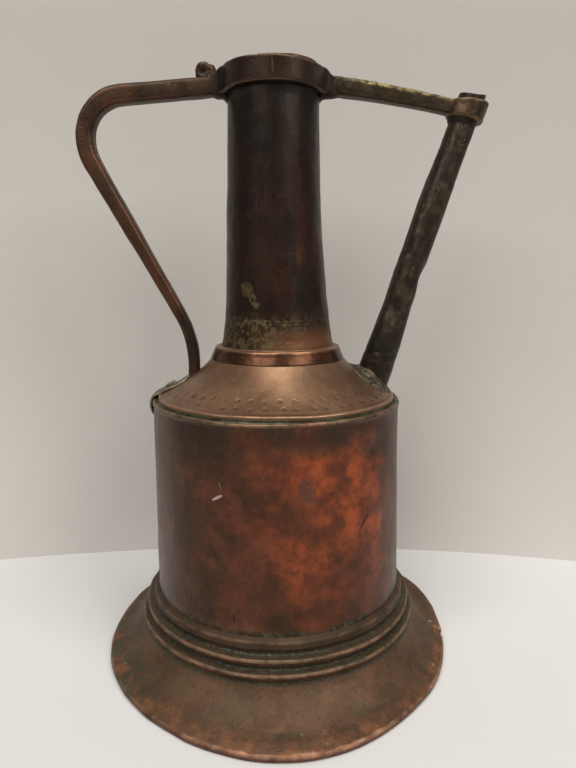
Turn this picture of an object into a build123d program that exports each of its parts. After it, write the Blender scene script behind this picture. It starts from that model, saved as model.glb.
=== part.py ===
from build123d import *
import os
from math import atan, cos, degrees, radians, sin, sqrt

# Hammered copper smoker can, free-standing: flared foot, straight fuel chamber,
# conical shoulder, tall open neck, a handle on the -X side and a long blow tube
# on the +X side, tied to the mouth by a stay. Millimetres, +Z up, origin on the
# ground at the centre of the foot.

# ---- driving dimensions -------------------------------------------------
SHEET = 1.2              # copper sheet
FIT = 0.05               # film of solder between two lapped faces

FOOT_R = 131.0           # outside of the folded hem
FOOT_TOP_Z = 51.4        # where the foot's collar ends on the wall
HEM_IN_R = 123.4         # cut edge of the hem, on top of the flare
GROUND_IN_R = 127.0      # worn flat that the can stands on
GROUND_OUT_R = 129.8

BODY_FOOT_R = 92.6       # wall, outside, at its lower edge
BODY_TOP_R = 90.4        # wall, outside, just under the shoulder seam
BODY_BOTTOM_Z = 44.0
BODY_TOP_Z = 190.3
FLOOR_Z = 50.0           # upper face of the chamber floor

CREASE_R = 86.3          # where the shoulder cone starts
CREASE_Z = 196.1
FLANGE_R = 88.9          # shoulder's edge, under the wall's lip
FLANGE_Z = 191.6
RING_FOOT_R = 47.5       # where the cone meets the neck moulding
RING_FOOT_Z = 223.8
CONE_SAG = 3.0           # hollow of the cone below a straight line
RING_TOP_Z = 231.6
COLLAR_FOOT_Z = 229.6    # where the cone turns up into the neck's collar

NECK_FOOT_R = 41.1       # neck, outside, in the shoulder's collar
NECK_TOP_R = 31.5        # neck, outside, at the mouth
NECK_FOOT_Z = 226.0
MOUTH_START_Z = 402.0    # straight stretch of the neck at the mouth
MOUTH_Z = 421.4

BAND_OUT_R = 35.4
BAND_LOW_Z = 404.4
BAND_TOP_Z = 420.2
EAR_TOP_Z = 417.2        # top of the two ears that the arms butt against
EAR_X = 42.0
ARM_WIDTH = 14.0         # handle and ears, along Y

SPOUT_LEAN = 0.328       # run in X for each unit of rise
SPOUT_REF_X = 76.9       # the tube's axis passes here ...
SPOUT_REF_Z = 227.0      # ... at this height
SPOUT_TIP_R = 9.0        # outside, over the straight last stretch
SPOUT_WAIST_R = 9.9      # outside, a third of the way up
SPOUT_FOOT_R = 12.4
SPOUT_WALL = 1.0
SPOUT_MOUTH = 22.0       # length of the straight last stretch
SPOUT_FOOT_Z = 196.0     # height of the tube's lower end, on its axis
SPOUT_WAIST_Z = 268.0
SPOUT_TIP_Z = 405.4      # height of its mouth, on its axis
EYE_Z = 395.6
EYE_R = 13.1
EYE_HEIGHT = 13.0

LUG_X = -49.4
LUG_Z = 419.1
LUG_R = 7.0
LUG_WIDTH = 9.0
LUG_PIN_R = 1.5

LEAF_THICK = 2.2
LEAF_HALF_WIDTH = 12.0
LEAF_TOP_R = 57.0        # inner end of the leaf, under the handle
LEAF_LOW_Z = 184.4       # lower end of the leaf, on the wall
RIVET_SHANK_R = 2.2
RIVET_HEAD_R = 4.4
RIVET_HEAD = 1.8

os.makedirs("parts", exist_ok=True)


def finish(piece, name):
    """Label a finished sub-part and write it as its own STEP file."""
    piece.part.label = name
    export_step(piece.part, f"parts/{name}.step")


def chord_sag(start, end, sag):
    """Middle point of an arc that hangs `sag` to the right of start -> end."""
    run = Vector(end[0] - start[0], end[1] - start[1])
    middle = (Vector(*start) + Vector(*end)) * 0.5
    side = Vector(run.Y, -run.X).normalized()
    return middle + side * sag


def cone_point(radius, gap=0.0):
    """Point of the shoulder's outer profile at a radius, lifted off by `gap`."""
    drop = sqrt(cone_arc_r**2 - (radius - cone_centre.X) ** 2)
    point = Vector(radius, cone_centre.Y - drop)
    return point + (cone_centre - point).normalized() * gap


def spout_point(height):
    """Point on the blow tube's axis at a height."""
    return Vector(SPOUT_REF_X + SPOUT_LEAN * (height - SPOUT_REF_Z), 0, height)


crease = (CREASE_R, CREASE_Z)
ring_foot = (RING_FOOT_R, RING_FOOT_Z)
cone_middle = chord_sag(ring_foot, crease, CONE_SAG)
half_chord = (Vector(*crease) - Vector(*ring_foot)).length / 2
cone_arc_r = (half_chord**2 + CONE_SAG**2) / (2 * CONE_SAG)
chord_middle = (Vector(*crease) + Vector(*ring_foot)) * 0.5
cone_centre = cone_middle + (chord_middle - cone_middle).normalized() * cone_arc_r

spout_dir = Vector(SPOUT_LEAN, 0, 1).normalized()
spout_axis = Axis(origin=spout_point(SPOUT_FOOT_Z), direction=spout_dir)
spout_profile = Plane(      # local X away from the axis, local Y along it
    origin=spout_point(SPOUT_FOOT_Z),
    x_dir=(spout_dir.Z, 0, -spout_dir.X),
    z_dir=(0, -1, 0),
)
spout_length = (SPOUT_TIP_Z - SPOUT_FOOT_Z) / spout_dir.Z

# ---- base flare: three stepped beads, a trumpet flare and a folded hem ---
bead_noses = [(97.2, 48.9), (100.8, 42.0), (103.3, 32.6)]
bead_creases = [(96.0, 43.9), (99.0, 35.2), (103.4, 29.0)]
hem_start = (HEM_IN_R, 5.2)

with BuildPart() as base_flare:
    with BuildSketch(Plane.XZ):
        with BuildLine():
            collar_out = BODY_FOOT_R + SHEET + FIT
            steps = [(collar_out, FOOT_TOP_Z + 0.8), (collar_out, FOOT_TOP_Z - 0.6)]
            for nose, hollow in zip(bead_noses, bead_creases):
                steps += [nose, hollow]
            FilletPolyline(*steps, radius=1.4)
            flare_middle = chord_sag(steps[-1], hem_start, 2.6)
            ThreePointArc(steps[-1], flare_middle, hem_start)
            offset(amount=SHEET, side=Side.RIGHT, closed=True)
        make_face()
        with BuildLine():
            Polyline(
                (HEM_IN_R - 1.0, 4.9),
                hem_start,
                (HEM_IN_R + 0.4, 6.4),
                (FOOT_R - 1.6, 3.4),
            )
            ThreePointArc((FOOT_R - 1.6, 3.4), (FOOT_R, 1.7), (GROUND_OUT_R, 0))
            Polyline(
                (GROUND_OUT_R, 0),
                (GROUND_IN_R, 0),
                (HEM_IN_R - 1.0, 4.9),
            )
        make_face()
    revolve(axis=Axis.Z)
finish(base_flare, "base_flare")

# ---- body shell: rolled wall, its top edge turned in over the shoulder ----
lip_nose = (BODY_TOP_R + 0.5, BODY_TOP_Z + 1.2)
lip_end = (BODY_TOP_R - 2.0, BODY_TOP_Z + 3.7)

with BuildPart() as body_shell:
    with BuildSketch(Plane.XZ):
        with BuildLine():
            Polyline(
                (BODY_FOOT_R, BODY_BOTTOM_Z),
                (BODY_TOP_R, BODY_TOP_Z),
                lip_nose,
                lip_end,
            )
            offset(amount=SHEET, side=Side.LEFT, closed=True)
        make_face()
    revolve(axis=Axis.Z)
    lip_edge = body_shell.edges().filter_by(GeomType.CIRCLE).sort_by(SortBy.RADIUS)
    fillet([e for e in lip_edge if abs(e.radius - lip_nose[0]) < FIT], 0.8)

# ---- chamber floor: a disc with its flange turned down into the foot -------
floor_r = BODY_FOOT_R - SHEET - 0.2

with BuildPart() as floor_plate:
    with BuildSketch(Plane.XZ):
        with BuildLine():
            Polyline((floor_r, BODY_BOTTOM_Z), (floor_r, FLOOR_Z), (0, FLOOR_Z))
            offset(amount=SHEET, side=Side.LEFT, closed=True)
        make_face()
    revolve(axis=Axis.Z)
    rims = floor_plate.edges().filter_by(GeomType.CIRCLE).group_by(Axis.Z)[-1]
    fillet(rims, 0.9)
finish(floor_plate, "floor_plate")

# ---- solder fillet that seals the floor to the wall -----------------------
with BuildPart() as floor_solder:
    with BuildSketch(Plane.XZ):
        with BuildLine():
            seal_out = floor_r - 0.05
            Polyline(
                (seal_out - 1.0, FLOOR_Z + FIT),
                (seal_out, FLOOR_Z + FIT),
                (seal_out, FLOOR_Z + 3.5),
            )
            ThreePointArc(
                (seal_out, FLOOR_Z + 3.5),
                (seal_out - 1.3, FLOOR_Z + 1.3),
                (seal_out - 3.5, FLOOR_Z + FIT),
            )
            Line((seal_out - 3.5, FLOOR_Z + FIT), (seal_out - 1.0, FLOOR_Z + FIT))
        make_face()
    revolve(axis=Axis.Z)
finish(floor_solder, "floor_solder")

# ---- shoulder: hollow cone, flange under the body's lip, upturned collar ---
collar_r = NECK_FOOT_R + FIT + SHEET

with BuildPart() as shoulder:
    with BuildSketch(Plane.XZ):
        with BuildLine():
            Polyline((FLANGE_R, FLANGE_Z), (CREASE_R + 0.45, CREASE_Z - 2.3), crease)
            ThreePointArc(crease, cone_middle, ring_foot)
            Polyline(ring_foot, (collar_r, COLLAR_FOOT_Z), (collar_r, RING_TOP_Z - 0.2))
            offset(amount=SHEET, side=Side.LEFT, closed=True)
        make_face()
    revolve(axis=Axis.Z)

# ---- neck ring: raised moulding over the joint of shoulder and neck --------
with BuildPart() as neck_ring:
    with BuildSketch(Plane.XZ):
        with BuildLine():
            ring_in = collar_r + FIT
            ring_slope = (RING_FOOT_Z - COLLAR_FOOT_Z) / (RING_FOOT_R - collar_r)
            bed_z = COLLAR_FOOT_Z + 2 * FIT
            foot_in = (ring_in, bed_z)
            foot_out = (RING_FOOT_R, bed_z + ring_slope * (RING_FOOT_R - ring_in))
            Polyline((ring_in, RING_TOP_Z), foot_in, foot_out)
            ThreePointArc(foot_out, (46.9, 227.2), (45.6, 229.9))
            ThreePointArc((45.6, 229.9), (44.4, 231.2), (ring_in, RING_TOP_Z))
        make_face()
    revolve(axis=Axis.Z)
finish(neck_ring, "neck_ring")

# ---- neck tube: tall trumpet-footed tube, straight at the mouth ------------
with BuildPart() as neck_tube:
    with BuildSketch(Plane.XZ):
        with BuildLine():
            for inset in (0, SHEET):
                foot_r = NECK_FOOT_R - inset
                top_r = NECK_TOP_R - inset
                Line((foot_r, NECK_FOOT_Z), (foot_r, RING_TOP_Z))
                Spline(
                    (foot_r, RING_TOP_Z),
                    (37.6 - inset, 257.0),
                    (34.4 - inset, 305.0),
                    (top_r, MOUTH_START_Z),
                    tangents=[(-0.05, 1), (0, 1)],
                )
                Line((top_r, MOUTH_START_Z), (top_r, MOUTH_Z))
            for end_r, end_z in ((NECK_FOOT_R, NECK_FOOT_Z), (NECK_TOP_R, MOUTH_Z)):
                Line((end_r, end_z), (end_r - SHEET, end_z))
        make_face()
    revolve(axis=Axis.Z)
finish(neck_tube, "neck_tube")

# ---- collar band: strap round the mouth with two ears for the arms ---------
band_in_r = NECK_TOP_R + FIT
ear_reach = sqrt(EAR_X**2 + (ARM_WIDTH / 2) ** 2)
ear_angle = degrees(atan(ARM_WIDTH / 2 / EAR_X))
tangent_angle = ear_angle + degrees(
    atan(sqrt(ear_reach**2 - BAND_OUT_R**2) / BAND_OUT_R)
)
tangent_x = BAND_OUT_R * cos(radians(tangent_angle))
tangent_y = BAND_OUT_R * sin(radians(tangent_angle))

with BuildPart() as collar_band:
    with BuildSketch(Plane.XY.offset(BAND_LOW_Z)):
        with BuildLine():
            Polyline(
                (-EAR_X, -ARM_WIDTH / 2),
                (-tangent_x, -tangent_y),
                (tangent_x, -tangent_y),
                (EAR_X, -ARM_WIDTH / 2),
                (EAR_X, ARM_WIDTH / 2),
                (tangent_x, tangent_y),
                (-tangent_x, tangent_y),
                (-EAR_X, ARM_WIDTH / 2),
                close=True,
            )
        make_face()
    extrude(amount=EAR_TOP_Z - BAND_LOW_Z)
    with BuildSketch(Plane.XY.offset(BAND_LOW_Z)):
        Circle(BAND_OUT_R)
    extrude(amount=BAND_TOP_Z - BAND_LOW_Z)
    with BuildSketch(Plane.XY.offset(BAND_LOW_Z - 1)):
        Circle(band_in_r)
    extrude(amount=BAND_TOP_Z - BAND_LOW_Z + 2, mode=Mode.SUBTRACT)
    chamfer(collar_band.edges().filter_by(GeomType.CIRCLE).group_by(Axis.Z)[-1], 0.6)
finish(collar_band, "collar_band")

# ---- handle strap: rounded bar, thick at the collar and thin at the leaf ---
handle_corners = [
    (-EAR_X + 3, 411.0),
    (-133.3, 402.3),
    (-133.3, 366.9),
    (-61.5, 236.8),
    (-61.5, 200.0),
]
handle_bends = (20.0, 50.0, 75.0)
handle_sections = [      # share of the path, width along Y, thickness
    (0.00, ARM_WIDTH, 11.6),
    (0.27, 13.5, 11.2),
    (0.48, 13.0, 10.0),
    (0.65, 12.5, 8.8),
    (0.80, 12.2, 8.2),
    (1.00, 12.0, 7.4),
]

with BuildPart() as handle_strap:
    with BuildLine(Plane.XZ) as handle_path:
        FilletPolyline(*handle_corners, radius=handle_bends)
    handle_wire = handle_path.wire()
    for share, width, thick in handle_sections:
        section_plane = Plane(
            origin=handle_wire @ share, x_dir=(0, 1, 0), z_dir=handle_wire % share
        )
        with BuildSketch(section_plane):
            RectangleRounded(width, thick, 0.32 * thick)
    sweep(path=handle_wire, multisection=True)

# ---- rivets of the leaf: one through the shoulder, one through the wall -----
def rivet_plane(point, outward):
    """Plane on a rivet's axis, local X away from the axis, local Y outward."""
    return Plane(
        origin=(-point.X, 0, point.Y),
        x_dir=(outward.Y, 0, outward.X),
        z_dir=(0, -1, 0),
    )


leaf_gap = 2 * FIT
stack = leaf_gap + LEAF_THICK       # leaf's outer face above the copper under it
rivet_lift = 0.15                   # heads are flat underneath, the sheets are curved
wall_rivet_z = LEAF_LOW_Z + 3.4
shoulder_rivet = cone_point(77.0)
shoulder_out = (cone_centre - shoulder_rivet).normalized()
wall_rivet = Vector(BODY_TOP_R + 0.1, wall_rivet_z)
wall_out = Vector(1, 0)
rivet_places = [
    (shoulder_rivet, shoulder_out, stack, RIVET_HEAD_R),
    (wall_rivet, wall_out, stack + 0.5, RIVET_HEAD_R - 1.0),
]

with BuildPart() as leaf_rivets:
    for place, outward, lift, head_r in rivet_places:
        plane = rivet_plane(place, outward)
        head_z = lift + rivet_lift
        tail_z = -SHEET - rivet_lift
        with BuildSketch(plane):
            with BuildLine():
                ThreePointArc(
                    (0, head_z + RIVET_HEAD),
                    (0.72 * head_r, head_z + 0.68 * RIVET_HEAD),
                    (head_r, head_z),
                )
                Polyline(
                    (head_r, head_z),
                    (RIVET_SHANK_R, head_z),
                    (RIVET_SHANK_R, tail_z),
                    (head_r - 0.6, tail_z),
                    (head_r - 1.0, tail_z - 1.0),
                    (0, tail_z - 1.0),
                    (0, head_z + RIVET_HEAD),
                )
            make_face()
        revolve(axis=Axis(plane.origin, plane.y_dir))
finish(leaf_rivets, "leaf_rivets")

with BuildPart() as rivet_holes:
    for place, outward, lift, head_r in rivet_places:
        plane = rivet_plane(place, outward)
        with BuildSketch(Plane(origin=plane.origin, z_dir=plane.y_dir)):
            Circle(RIVET_SHANK_R + FIT)
        extrude(amount=lift + 2, both=True)

# ---- handle leaf: plate that hugs the cone, the seam and the wall -----------
seam_side = BODY_TOP_R + 0.65
with BuildPart() as handle_leaf:
    with BuildSketch(Plane.XZ):
        with BuildLine():
            leaf_points = [cone_point(r, leaf_gap) for r in (LEAF_TOP_R, 70.0, 83.5)]
            ThreePointArc(*leaf_points)
            FilletPolyline(
                leaf_points[-1],
                (BODY_TOP_R - 2.4, CREASE_Z - 0.4),
                (seam_side, FLANGE_Z + 1.0),
                (seam_side, LEAF_LOW_Z),
                radius=1.0,
            )
            offset(amount=LEAF_THICK, side=Side.LEFT, closed=True)
        make_face()
    revolve(axis=Axis.Z)
    with BuildSketch(Plane.XY.offset(LEAF_LOW_Z)):
        with Locations((-(LEAF_TOP_R + FOOT_R) / 2, 0)):
            SlotOverall(FOOT_R - LEAF_TOP_R + 16, 2 * LEAF_HALF_WIDTH)
    extrude(amount=RING_FOOT_Z - LEAF_LOW_Z, mode=Mode.INTERSECT)
    add(rivet_holes.part, mode=Mode.SUBTRACT)
finish(handle_leaf, "handle_leaf")

# ---- space under the leaf's outer face, which the handle's foot rests on ----
UNDERSIDE_Z = 150.0                 # well below the shoulder
skin_in_r = RING_FOOT_R - 2.5
with BuildPart() as under_leaf:
    with BuildSketch(Plane.XZ):
        with BuildLine():
            skin_out_r = FLANGE_R - 0.9
            top_points = [
                cone_point(r, stack + FIT) for r in (skin_in_r, 70.0, skin_out_r)
            ]
            ThreePointArc(*top_points)
            Polyline(
                top_points[-1],
                (skin_out_r, UNDERSIDE_Z),
                (skin_in_r, UNDERSIDE_Z),
                top_points[0],
            )
        make_face()
    revolve(axis=Axis.Z)

with BuildPart() as handle_trimmed:
    add(handle_strap.part)
    split(bisect_by=Plane.YZ.offset(-EAR_X - FIT), keep=Keep.BOTTOM)
    add(under_leaf.part, mode=Mode.SUBTRACT)
finish(handle_trimmed, "handle_strap")

# ---- lid lug: curled knuckle on top of the handle, bored along Y ------------
with BuildPart() as lid_lug:
    with BuildSketch(Plane.XZ):
        with Locations((LUG_X, LUG_Z)):
            Circle(LUG_R)
            Rectangle(2 * LUG_R - 1, 9, align=(Align.CENTER, Align.MAX))
            Circle(LUG_PIN_R, mode=Mode.SUBTRACT)
    extrude(amount=LUG_WIDTH / 2, both=True)
    add(handle_strap.part, mode=Mode.SUBTRACT)
finish(lid_lug, "lid_lug")

# ---- solder webs under the band's ears ----------------------------------
web_top = BAND_LOW_Z - FIT
web_low = BAND_LOW_Z - 4.2
web_in = NECK_TOP_R - 4.5           # inside the neck, cut away further down
web_out = EAR_X - 1.0
with BuildPart() as collar_solder:
    for side in (-1, 1):
        with BuildSketch(Plane.XZ):
            with BuildLine():
                Polyline(
                    (side * web_in, web_low),
                    (side * web_in, web_top),
                    (side * web_out, web_top),
                )
                ThreePointArc(
                    (side * web_out, web_top),
                    (side * 35.6, web_top - 1.35),
                    (side * (NECK_TOP_R + 0.6), web_low),
                )
                Line((side * (NECK_TOP_R + 0.6), web_low), (side * web_in, web_low))
            make_face()
        extrude(amount=6.0, both=True)
    with BuildSketch(Plane.XY.offset(web_low - 1)):
        Circle(NECK_TOP_R + 3 * FIT)
    extrude(amount=BAND_LOW_Z - web_low + 2, mode=Mode.SUBTRACT)
finish(collar_solder, "collar_solder")

# ---- blow tube: long cone, straight where it passes the stay's eye ----------
with BuildPart() as spout_tube:
    with BuildSketch(spout_profile):
        with BuildLine():
            Polyline(
                (SPOUT_FOOT_R, 0),
                (SPOUT_WAIST_R, (SPOUT_WAIST_Z - SPOUT_FOOT_Z) / spout_dir.Z),
                (SPOUT_TIP_R, spout_length - SPOUT_MOUTH),
                (SPOUT_TIP_R, spout_length),
            )
            offset(amount=SPOUT_WALL, side=Side.LEFT, closed=True)
        make_face()
    revolve(axis=spout_axis)
finish(spout_tube, "spout_tube")

spout_hole = Plane(origin=spout_point(SPOUT_FOOT_Z), z_dir=spout_dir)
with BuildPart() as spout_clearance:
    with BuildSketch(spout_hole):
        Circle(SPOUT_FOOT_R + FIT)
    extrude(amount=40, both=True)

# ---- shoulder and wall, with their holes for the tube and the rivets --------
with BuildPart() as shoulder_bored:
    add(shoulder.part)
    add(spout_clearance.part, mode=Mode.SUBTRACT)
    add(rivet_holes.part, mode=Mode.SUBTRACT)
finish(shoulder_bored, "shoulder")

with BuildPart() as body_bored:
    add(body_shell.part)
    add(rivet_holes.part, mode=Mode.SUBTRACT)
finish(body_bored, "body_shell")

# ---- solder fillet at the foot of the blow tube ------------------------------
with BuildPart() as under_shoulder:
    with BuildSketch(Plane.XZ):
        with BuildLine():
            skin = [cone_point(r, FIT) for r in (skin_in_r, 66.0, CREASE_R)]
            ThreePointArc(*skin)
            Polyline(
                skin[-1],
                (lip_end[0] + 0.2, lip_end[1] + 0.3),
                (lip_nose[0] + 0.2, lip_nose[1] - 0.1),
                (lip_nose[0] + 0.2, UNDERSIDE_Z),
                (skin_in_r, UNDERSIDE_Z),
                skin[0],
            )
        make_face()
    revolve(axis=Axis.Z)

JOINT_R = 71.0                      # where the blow tube meets the cone
SOLDER_FOOT_R = 20.5
SOLDER_TOP_R = 13.4
SOLDER_HALF = 6.0

joint = cone_point(JOINT_R)
joint_out = (cone_centre - joint).normalized()
joint_plane = Plane(
    origin=(joint.X, 0, joint.Y), x_dir=(0, 1, 0), z_dir=(joint_out.X, 0, joint_out.Y)
)
with BuildPart() as spout_solder:
    with BuildSketch(joint_plane.offset(-SOLDER_HALF)):
        Circle(SOLDER_FOOT_R)
    with BuildSketch(joint_plane.offset(SOLDER_HALF)):
        Circle(SOLDER_TOP_R)
    loft()
    add(under_shoulder.part, mode=Mode.SUBTRACT)
    with BuildSketch(spout_hole):
        Circle(SPOUT_FOOT_R + 2 * FIT)
    extrude(amount=40, both=True, mode=Mode.SUBTRACT)
finish(spout_solder, "spout_solder")

# ---- stay eye: ring round the tube, near its mouth ---------------------------
eye_plane = Plane(origin=spout_point(EYE_Z), z_dir=spout_dir)
with BuildPart() as stay_eye:
    with BuildSketch(eye_plane):
        Circle(EYE_R)
        Circle(SPOUT_TIP_R + FIT, mode=Mode.SUBTRACT)
    extrude(amount=EYE_HEIGHT / 2, both=True)
    fillet(stay_eye.faces().sort_by(SortBy.AREA)[-1].edges().filter_by(GeomType.CIRCLE), 2.2)
finish(stay_eye, "stay_eye")

# ---- stay arm: bar from the band's ear to the eye ---------------------------
stay_sections = [        # share of the path, width along Y, height
    (0.00, 14.0, 11.6),
    (0.18, 12.4, 10.2),
    (1.00, 11.6, 10.0),
]
with BuildPart() as stay_arm:
    with BuildLine(Plane.XZ) as stay_path:
        ThreePointArc((EAR_X - 3, 410.5), (85.0, 403.9), (129.0, 395.6))
    stay_wire = stay_path.wire()
    for share, width, height in stay_sections:
        section_plane = Plane(
            origin=stay_wire @ share, x_dir=(0, 1, 0), z_dir=stay_wire % share
        )
        with BuildSketch(section_plane):
            RectangleRounded(width, height, 2.6)
    sweep(path=stay_wire, multisection=True)
    split(bisect_by=Plane.YZ.offset(EAR_X + FIT), keep=Keep.TOP)
    with BuildSketch(eye_plane):
        Circle(EYE_R + FIT)
    extrude(amount=30, both=True, mode=Mode.SUBTRACT)
    add(stay_arm.solids().sort_by(Axis.X)[0], mode=Mode.REPLACE)
finish(stay_arm, "stay_arm")

# ---- solder under the eye, on the side of the stay --------------------------
with BuildPart() as eye_solder:
    with BuildSketch(spout_profile):
        with BuildLine():
            eye_low = (EYE_Z - SPOUT_FOOT_Z) / spout_dir.Z - EYE_HEIGHT / 2 - FIT
            tube_side = SPOUT_TIP_R + 2 * FIT
            web_side = spout_point(EYE_Z - EYE_HEIGHT / 2).X
            Polyline(
                (tube_side, eye_low - 4.5),
                (tube_side, eye_low),
                (EYE_R - 0.8, eye_low),
                (tube_side + 1.6, eye_low - 2.0),
                close=True,
            )
        make_face()
    revolve(axis=spout_axis)
    split(bisect_by=Plane.YZ.offset(web_side), keep=Keep.BOTTOM)
finish(eye_solder, "eye_solder")
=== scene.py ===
"""Old copper smoker can with a bell foot, a tall neck, a handle and a blow tube.

Every piece is built here as a closed mesh in millimetres, in the CAD model's frame,
and written to Blender in metres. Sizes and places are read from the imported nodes.
"""

import itertools
import math

import bpy
import numpy as np
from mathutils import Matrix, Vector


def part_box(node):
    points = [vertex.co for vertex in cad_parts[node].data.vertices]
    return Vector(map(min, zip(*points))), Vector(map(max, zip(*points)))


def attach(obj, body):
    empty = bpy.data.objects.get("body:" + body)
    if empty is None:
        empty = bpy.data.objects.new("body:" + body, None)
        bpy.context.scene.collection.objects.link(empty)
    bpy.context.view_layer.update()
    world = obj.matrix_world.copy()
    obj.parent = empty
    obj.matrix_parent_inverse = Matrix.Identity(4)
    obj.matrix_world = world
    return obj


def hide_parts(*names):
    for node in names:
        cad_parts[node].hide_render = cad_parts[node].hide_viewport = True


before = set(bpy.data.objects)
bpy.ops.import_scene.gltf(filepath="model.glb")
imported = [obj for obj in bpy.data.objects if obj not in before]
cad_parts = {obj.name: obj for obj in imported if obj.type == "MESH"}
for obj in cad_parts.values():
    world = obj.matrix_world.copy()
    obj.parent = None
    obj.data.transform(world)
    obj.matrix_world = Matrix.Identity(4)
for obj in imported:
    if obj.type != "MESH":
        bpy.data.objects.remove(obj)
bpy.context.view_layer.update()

MM = 0.001               # Blender works in metres, the shapes below in millimetres
TURN = 2 * math.pi


def box_mm(node):
    """Lowest and highest corner of a CAD node, in millimetres."""
    low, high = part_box(node)
    return low / MM, high / MM


# ---- sizes taken from the frame ---------------------------------------------
foot_high = box_mm("base_flare")[1]
wall_low, wall_high = box_mm("body_shell")
cone_low, cone_high = box_mm("shoulder")
ring_low, ring_high = box_mm("neck_ring")
neck_low, neck_high = box_mm("neck_tube")
band_low, band_high = box_mm("collar_band")
strap_low, strap_high = box_mm("handle_strap")
lug_low, lug_high = box_mm("lid_lug")
leaf_low = box_mm("handle_leaf")[0]
stay_high = box_mm("stay_arm")[1]
eye_low, eye_high = box_mm("stay_eye")
spout_low, spout_high = box_mm("spout_tube")

SHEET = 1.2
FOOT_R = foot_high.x
WALL_FOOT_R = wall_high.x
WALL_TOP_R = WALL_FOOT_R - 2.2
WALL_TOP_Z = wall_high.z - 3.7
CREASE_R = cone_high.x - 2.6
CREASE_Z = wall_high.z + 2.1
RING_R = ring_high.x
RING_FOOT_Z = ring_low.z
RING_TOP_Z = ring_high.z
NECK_FOOT_R = neck_high.x
NECK_TOP_R = 31.5
MOUTH_Z = neck_high.z
BAND_R = band_high.y
BAND_LOW_Z = band_low.z
BAND_TOP_Z = band_high.z
EAR_X = band_high.x
ARM_WIDTH = strap_high.y - strap_low.y
SPOUT_LEAN = 0.328
SPOUT_FOOT_R = spout_high.y
SPOUT_TIP_R = 9.0
EYE_R = eye_high.y
EYE_ABOVE = 4.9          # the eye's upper and lower faces, from its centre
EYE_BELOW = 8.8
NECK_LEAN = -2.2         # the neck's top stands this far to one side


# ---- noise that gives the same result on every run --------------------------
def scatter(key, seed):
    """Fixed random number from -1 to 1 for each whole-number key."""
    mixed = np.sin(key @ np.array([12.9898, 78.233, 37.719]) + 1.7 * seed) * 43758.5453
    return 2 * (mixed - np.floor(mixed)) - 1


def lumps(points, size, seed=0):
    """Smooth noise from -1 to 1 with bumps about `size` across."""
    cell = np.asarray(points) / size + 31.7 + seed
    low = np.floor(cell)
    part = cell - low
    part = part * part * (3 - 2 * part)
    total = np.zeros(len(cell))
    for corner in itertools.product((0, 1), repeat=3):
        weight = np.prod(np.where(corner, part, 1 - part), axis=1)
        total += weight * scatter(low + corner, seed)
    return total


def crumple(points, size, seed=0, layers=3):
    """Lumps of three sizes on top of each other."""
    return sum(lumps(points, size / 2.1**i, seed + i) / 1.8**i for i in range(layers))


def blows(along, across, wide, tall, seed, around=10**6):
    """Hammer marks: 0 in the middle of each mark, rising to 1 where marks meet."""
    u, v = along / wide, across / tall
    nearest = np.full(u.shape, 9.0)
    for step_u, step_v in itertools.product((-1, 0, 1), repeat=2):
        cell_u = np.floor(u) + step_u
        cell_v = np.floor(v) + step_v
        key = np.stack([cell_u % around, cell_v, 0 * cell_u], axis=-1)
        centre_u = cell_u + 0.5 + 0.36 * scatter(key, seed)
        centre_v = cell_v + 0.5 + 0.36 * scatter(key, seed + 1)
        nearest = np.minimum(nearest, (u - centre_u) ** 2 + (v - centre_v) ** 2)
    return np.minimum(nearest / 0.55, 1)


def ease(value, low, high):
    """0 below `low`, 1 above `high`, smooth between."""
    part = np.clip((value - low) / (high - low), 0, 1)
    return part * part * (3 - 2 * part)


def hump(value, centre, half):
    """Smooth bump of height 1 and half width `half`."""
    return np.exp(-(((value - centre) / half) ** 2))


def off(angle, degrees):
    """Angle away from a direction, from -pi to pi."""
    return (angle - math.radians(degrees) + math.pi) % TURN - math.pi


def toward(angle, degrees, half):
    """Smooth bump of height 1 around a direction, `half` wide in radians."""
    return hump(off(angle, degrees), 0, half)


# ---- outlines, as rows of (radius, height) or (x, z) ------------------------
def unit(vector):
    return vector / np.linalg.norm(vector)


def rounded(points, radii, step, room=0.5):
    """Straight runs joined by tangent arcs, as points about `step` apart."""
    points = [np.array(p, float) for p in points]
    radii = [radii] * (len(points) - 2) if np.isscalar(radii) else radii
    line = [points[0]]
    for before, corner, after, radius in zip(points, points[1:], points[2:], radii):
        back, ahead = unit(before - corner), unit(after - corner)
        half = math.acos(np.clip(back @ ahead, -1, 1)) / 2
        if half > 1.55:
            line.append(corner)
            continue
        shorter = min(np.linalg.norm(before - corner), np.linalg.norm(after - corner))
        cut = min(radius / math.tan(half), room * shorter)
        radius = cut * math.tan(half)
        centre = corner + unit(back + ahead) * radius / math.sin(half)
        start, end = corner + back * cut - centre, corner + ahead * cut - centre
        turn = math.pi - 2 * half
        bends = max(3, int(radius * turn / step))
        for t in np.linspace(0, turn, bends + 1):
            arm = (math.sin(turn - t) * start + math.sin(t) * end) / math.sin(turn)
            line.append(centre + arm)
    line.append(points[-1])
    return spaced(np.array(line), step)


def closed(points, radii, step):
    """The same for an outline that ends where it starts."""
    return rounded([*points, points[0]], radii, step)[:-1]


def spaced(line, step):
    """The same line with its long runs divided, so no two points are far apart."""
    out = [line[0]]
    for a, b in zip(line, line[1:]):
        length = np.linalg.norm(b - a)
        if length < 1e-6:
            continue
        parts = max(1, int(round(length / step)))
        out += [a + (b - a) * (i + 1) / parts for i in range(parts)]
    return np.array(out)


def sagging(start, end, sag, step):
    """Shallow curve from start to end that hangs `sag` to the right of the chord."""
    start, end = np.array(start, float), np.array(end, float)
    run = end - start
    side = unit(np.array([run[1], -run[0]]))
    share = np.linspace(0, 1, max(2, int(np.linalg.norm(run) / step)) + 1)[:, None]
    return start + run * share + side * sag * 4 * share * (1 - share)


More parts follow.
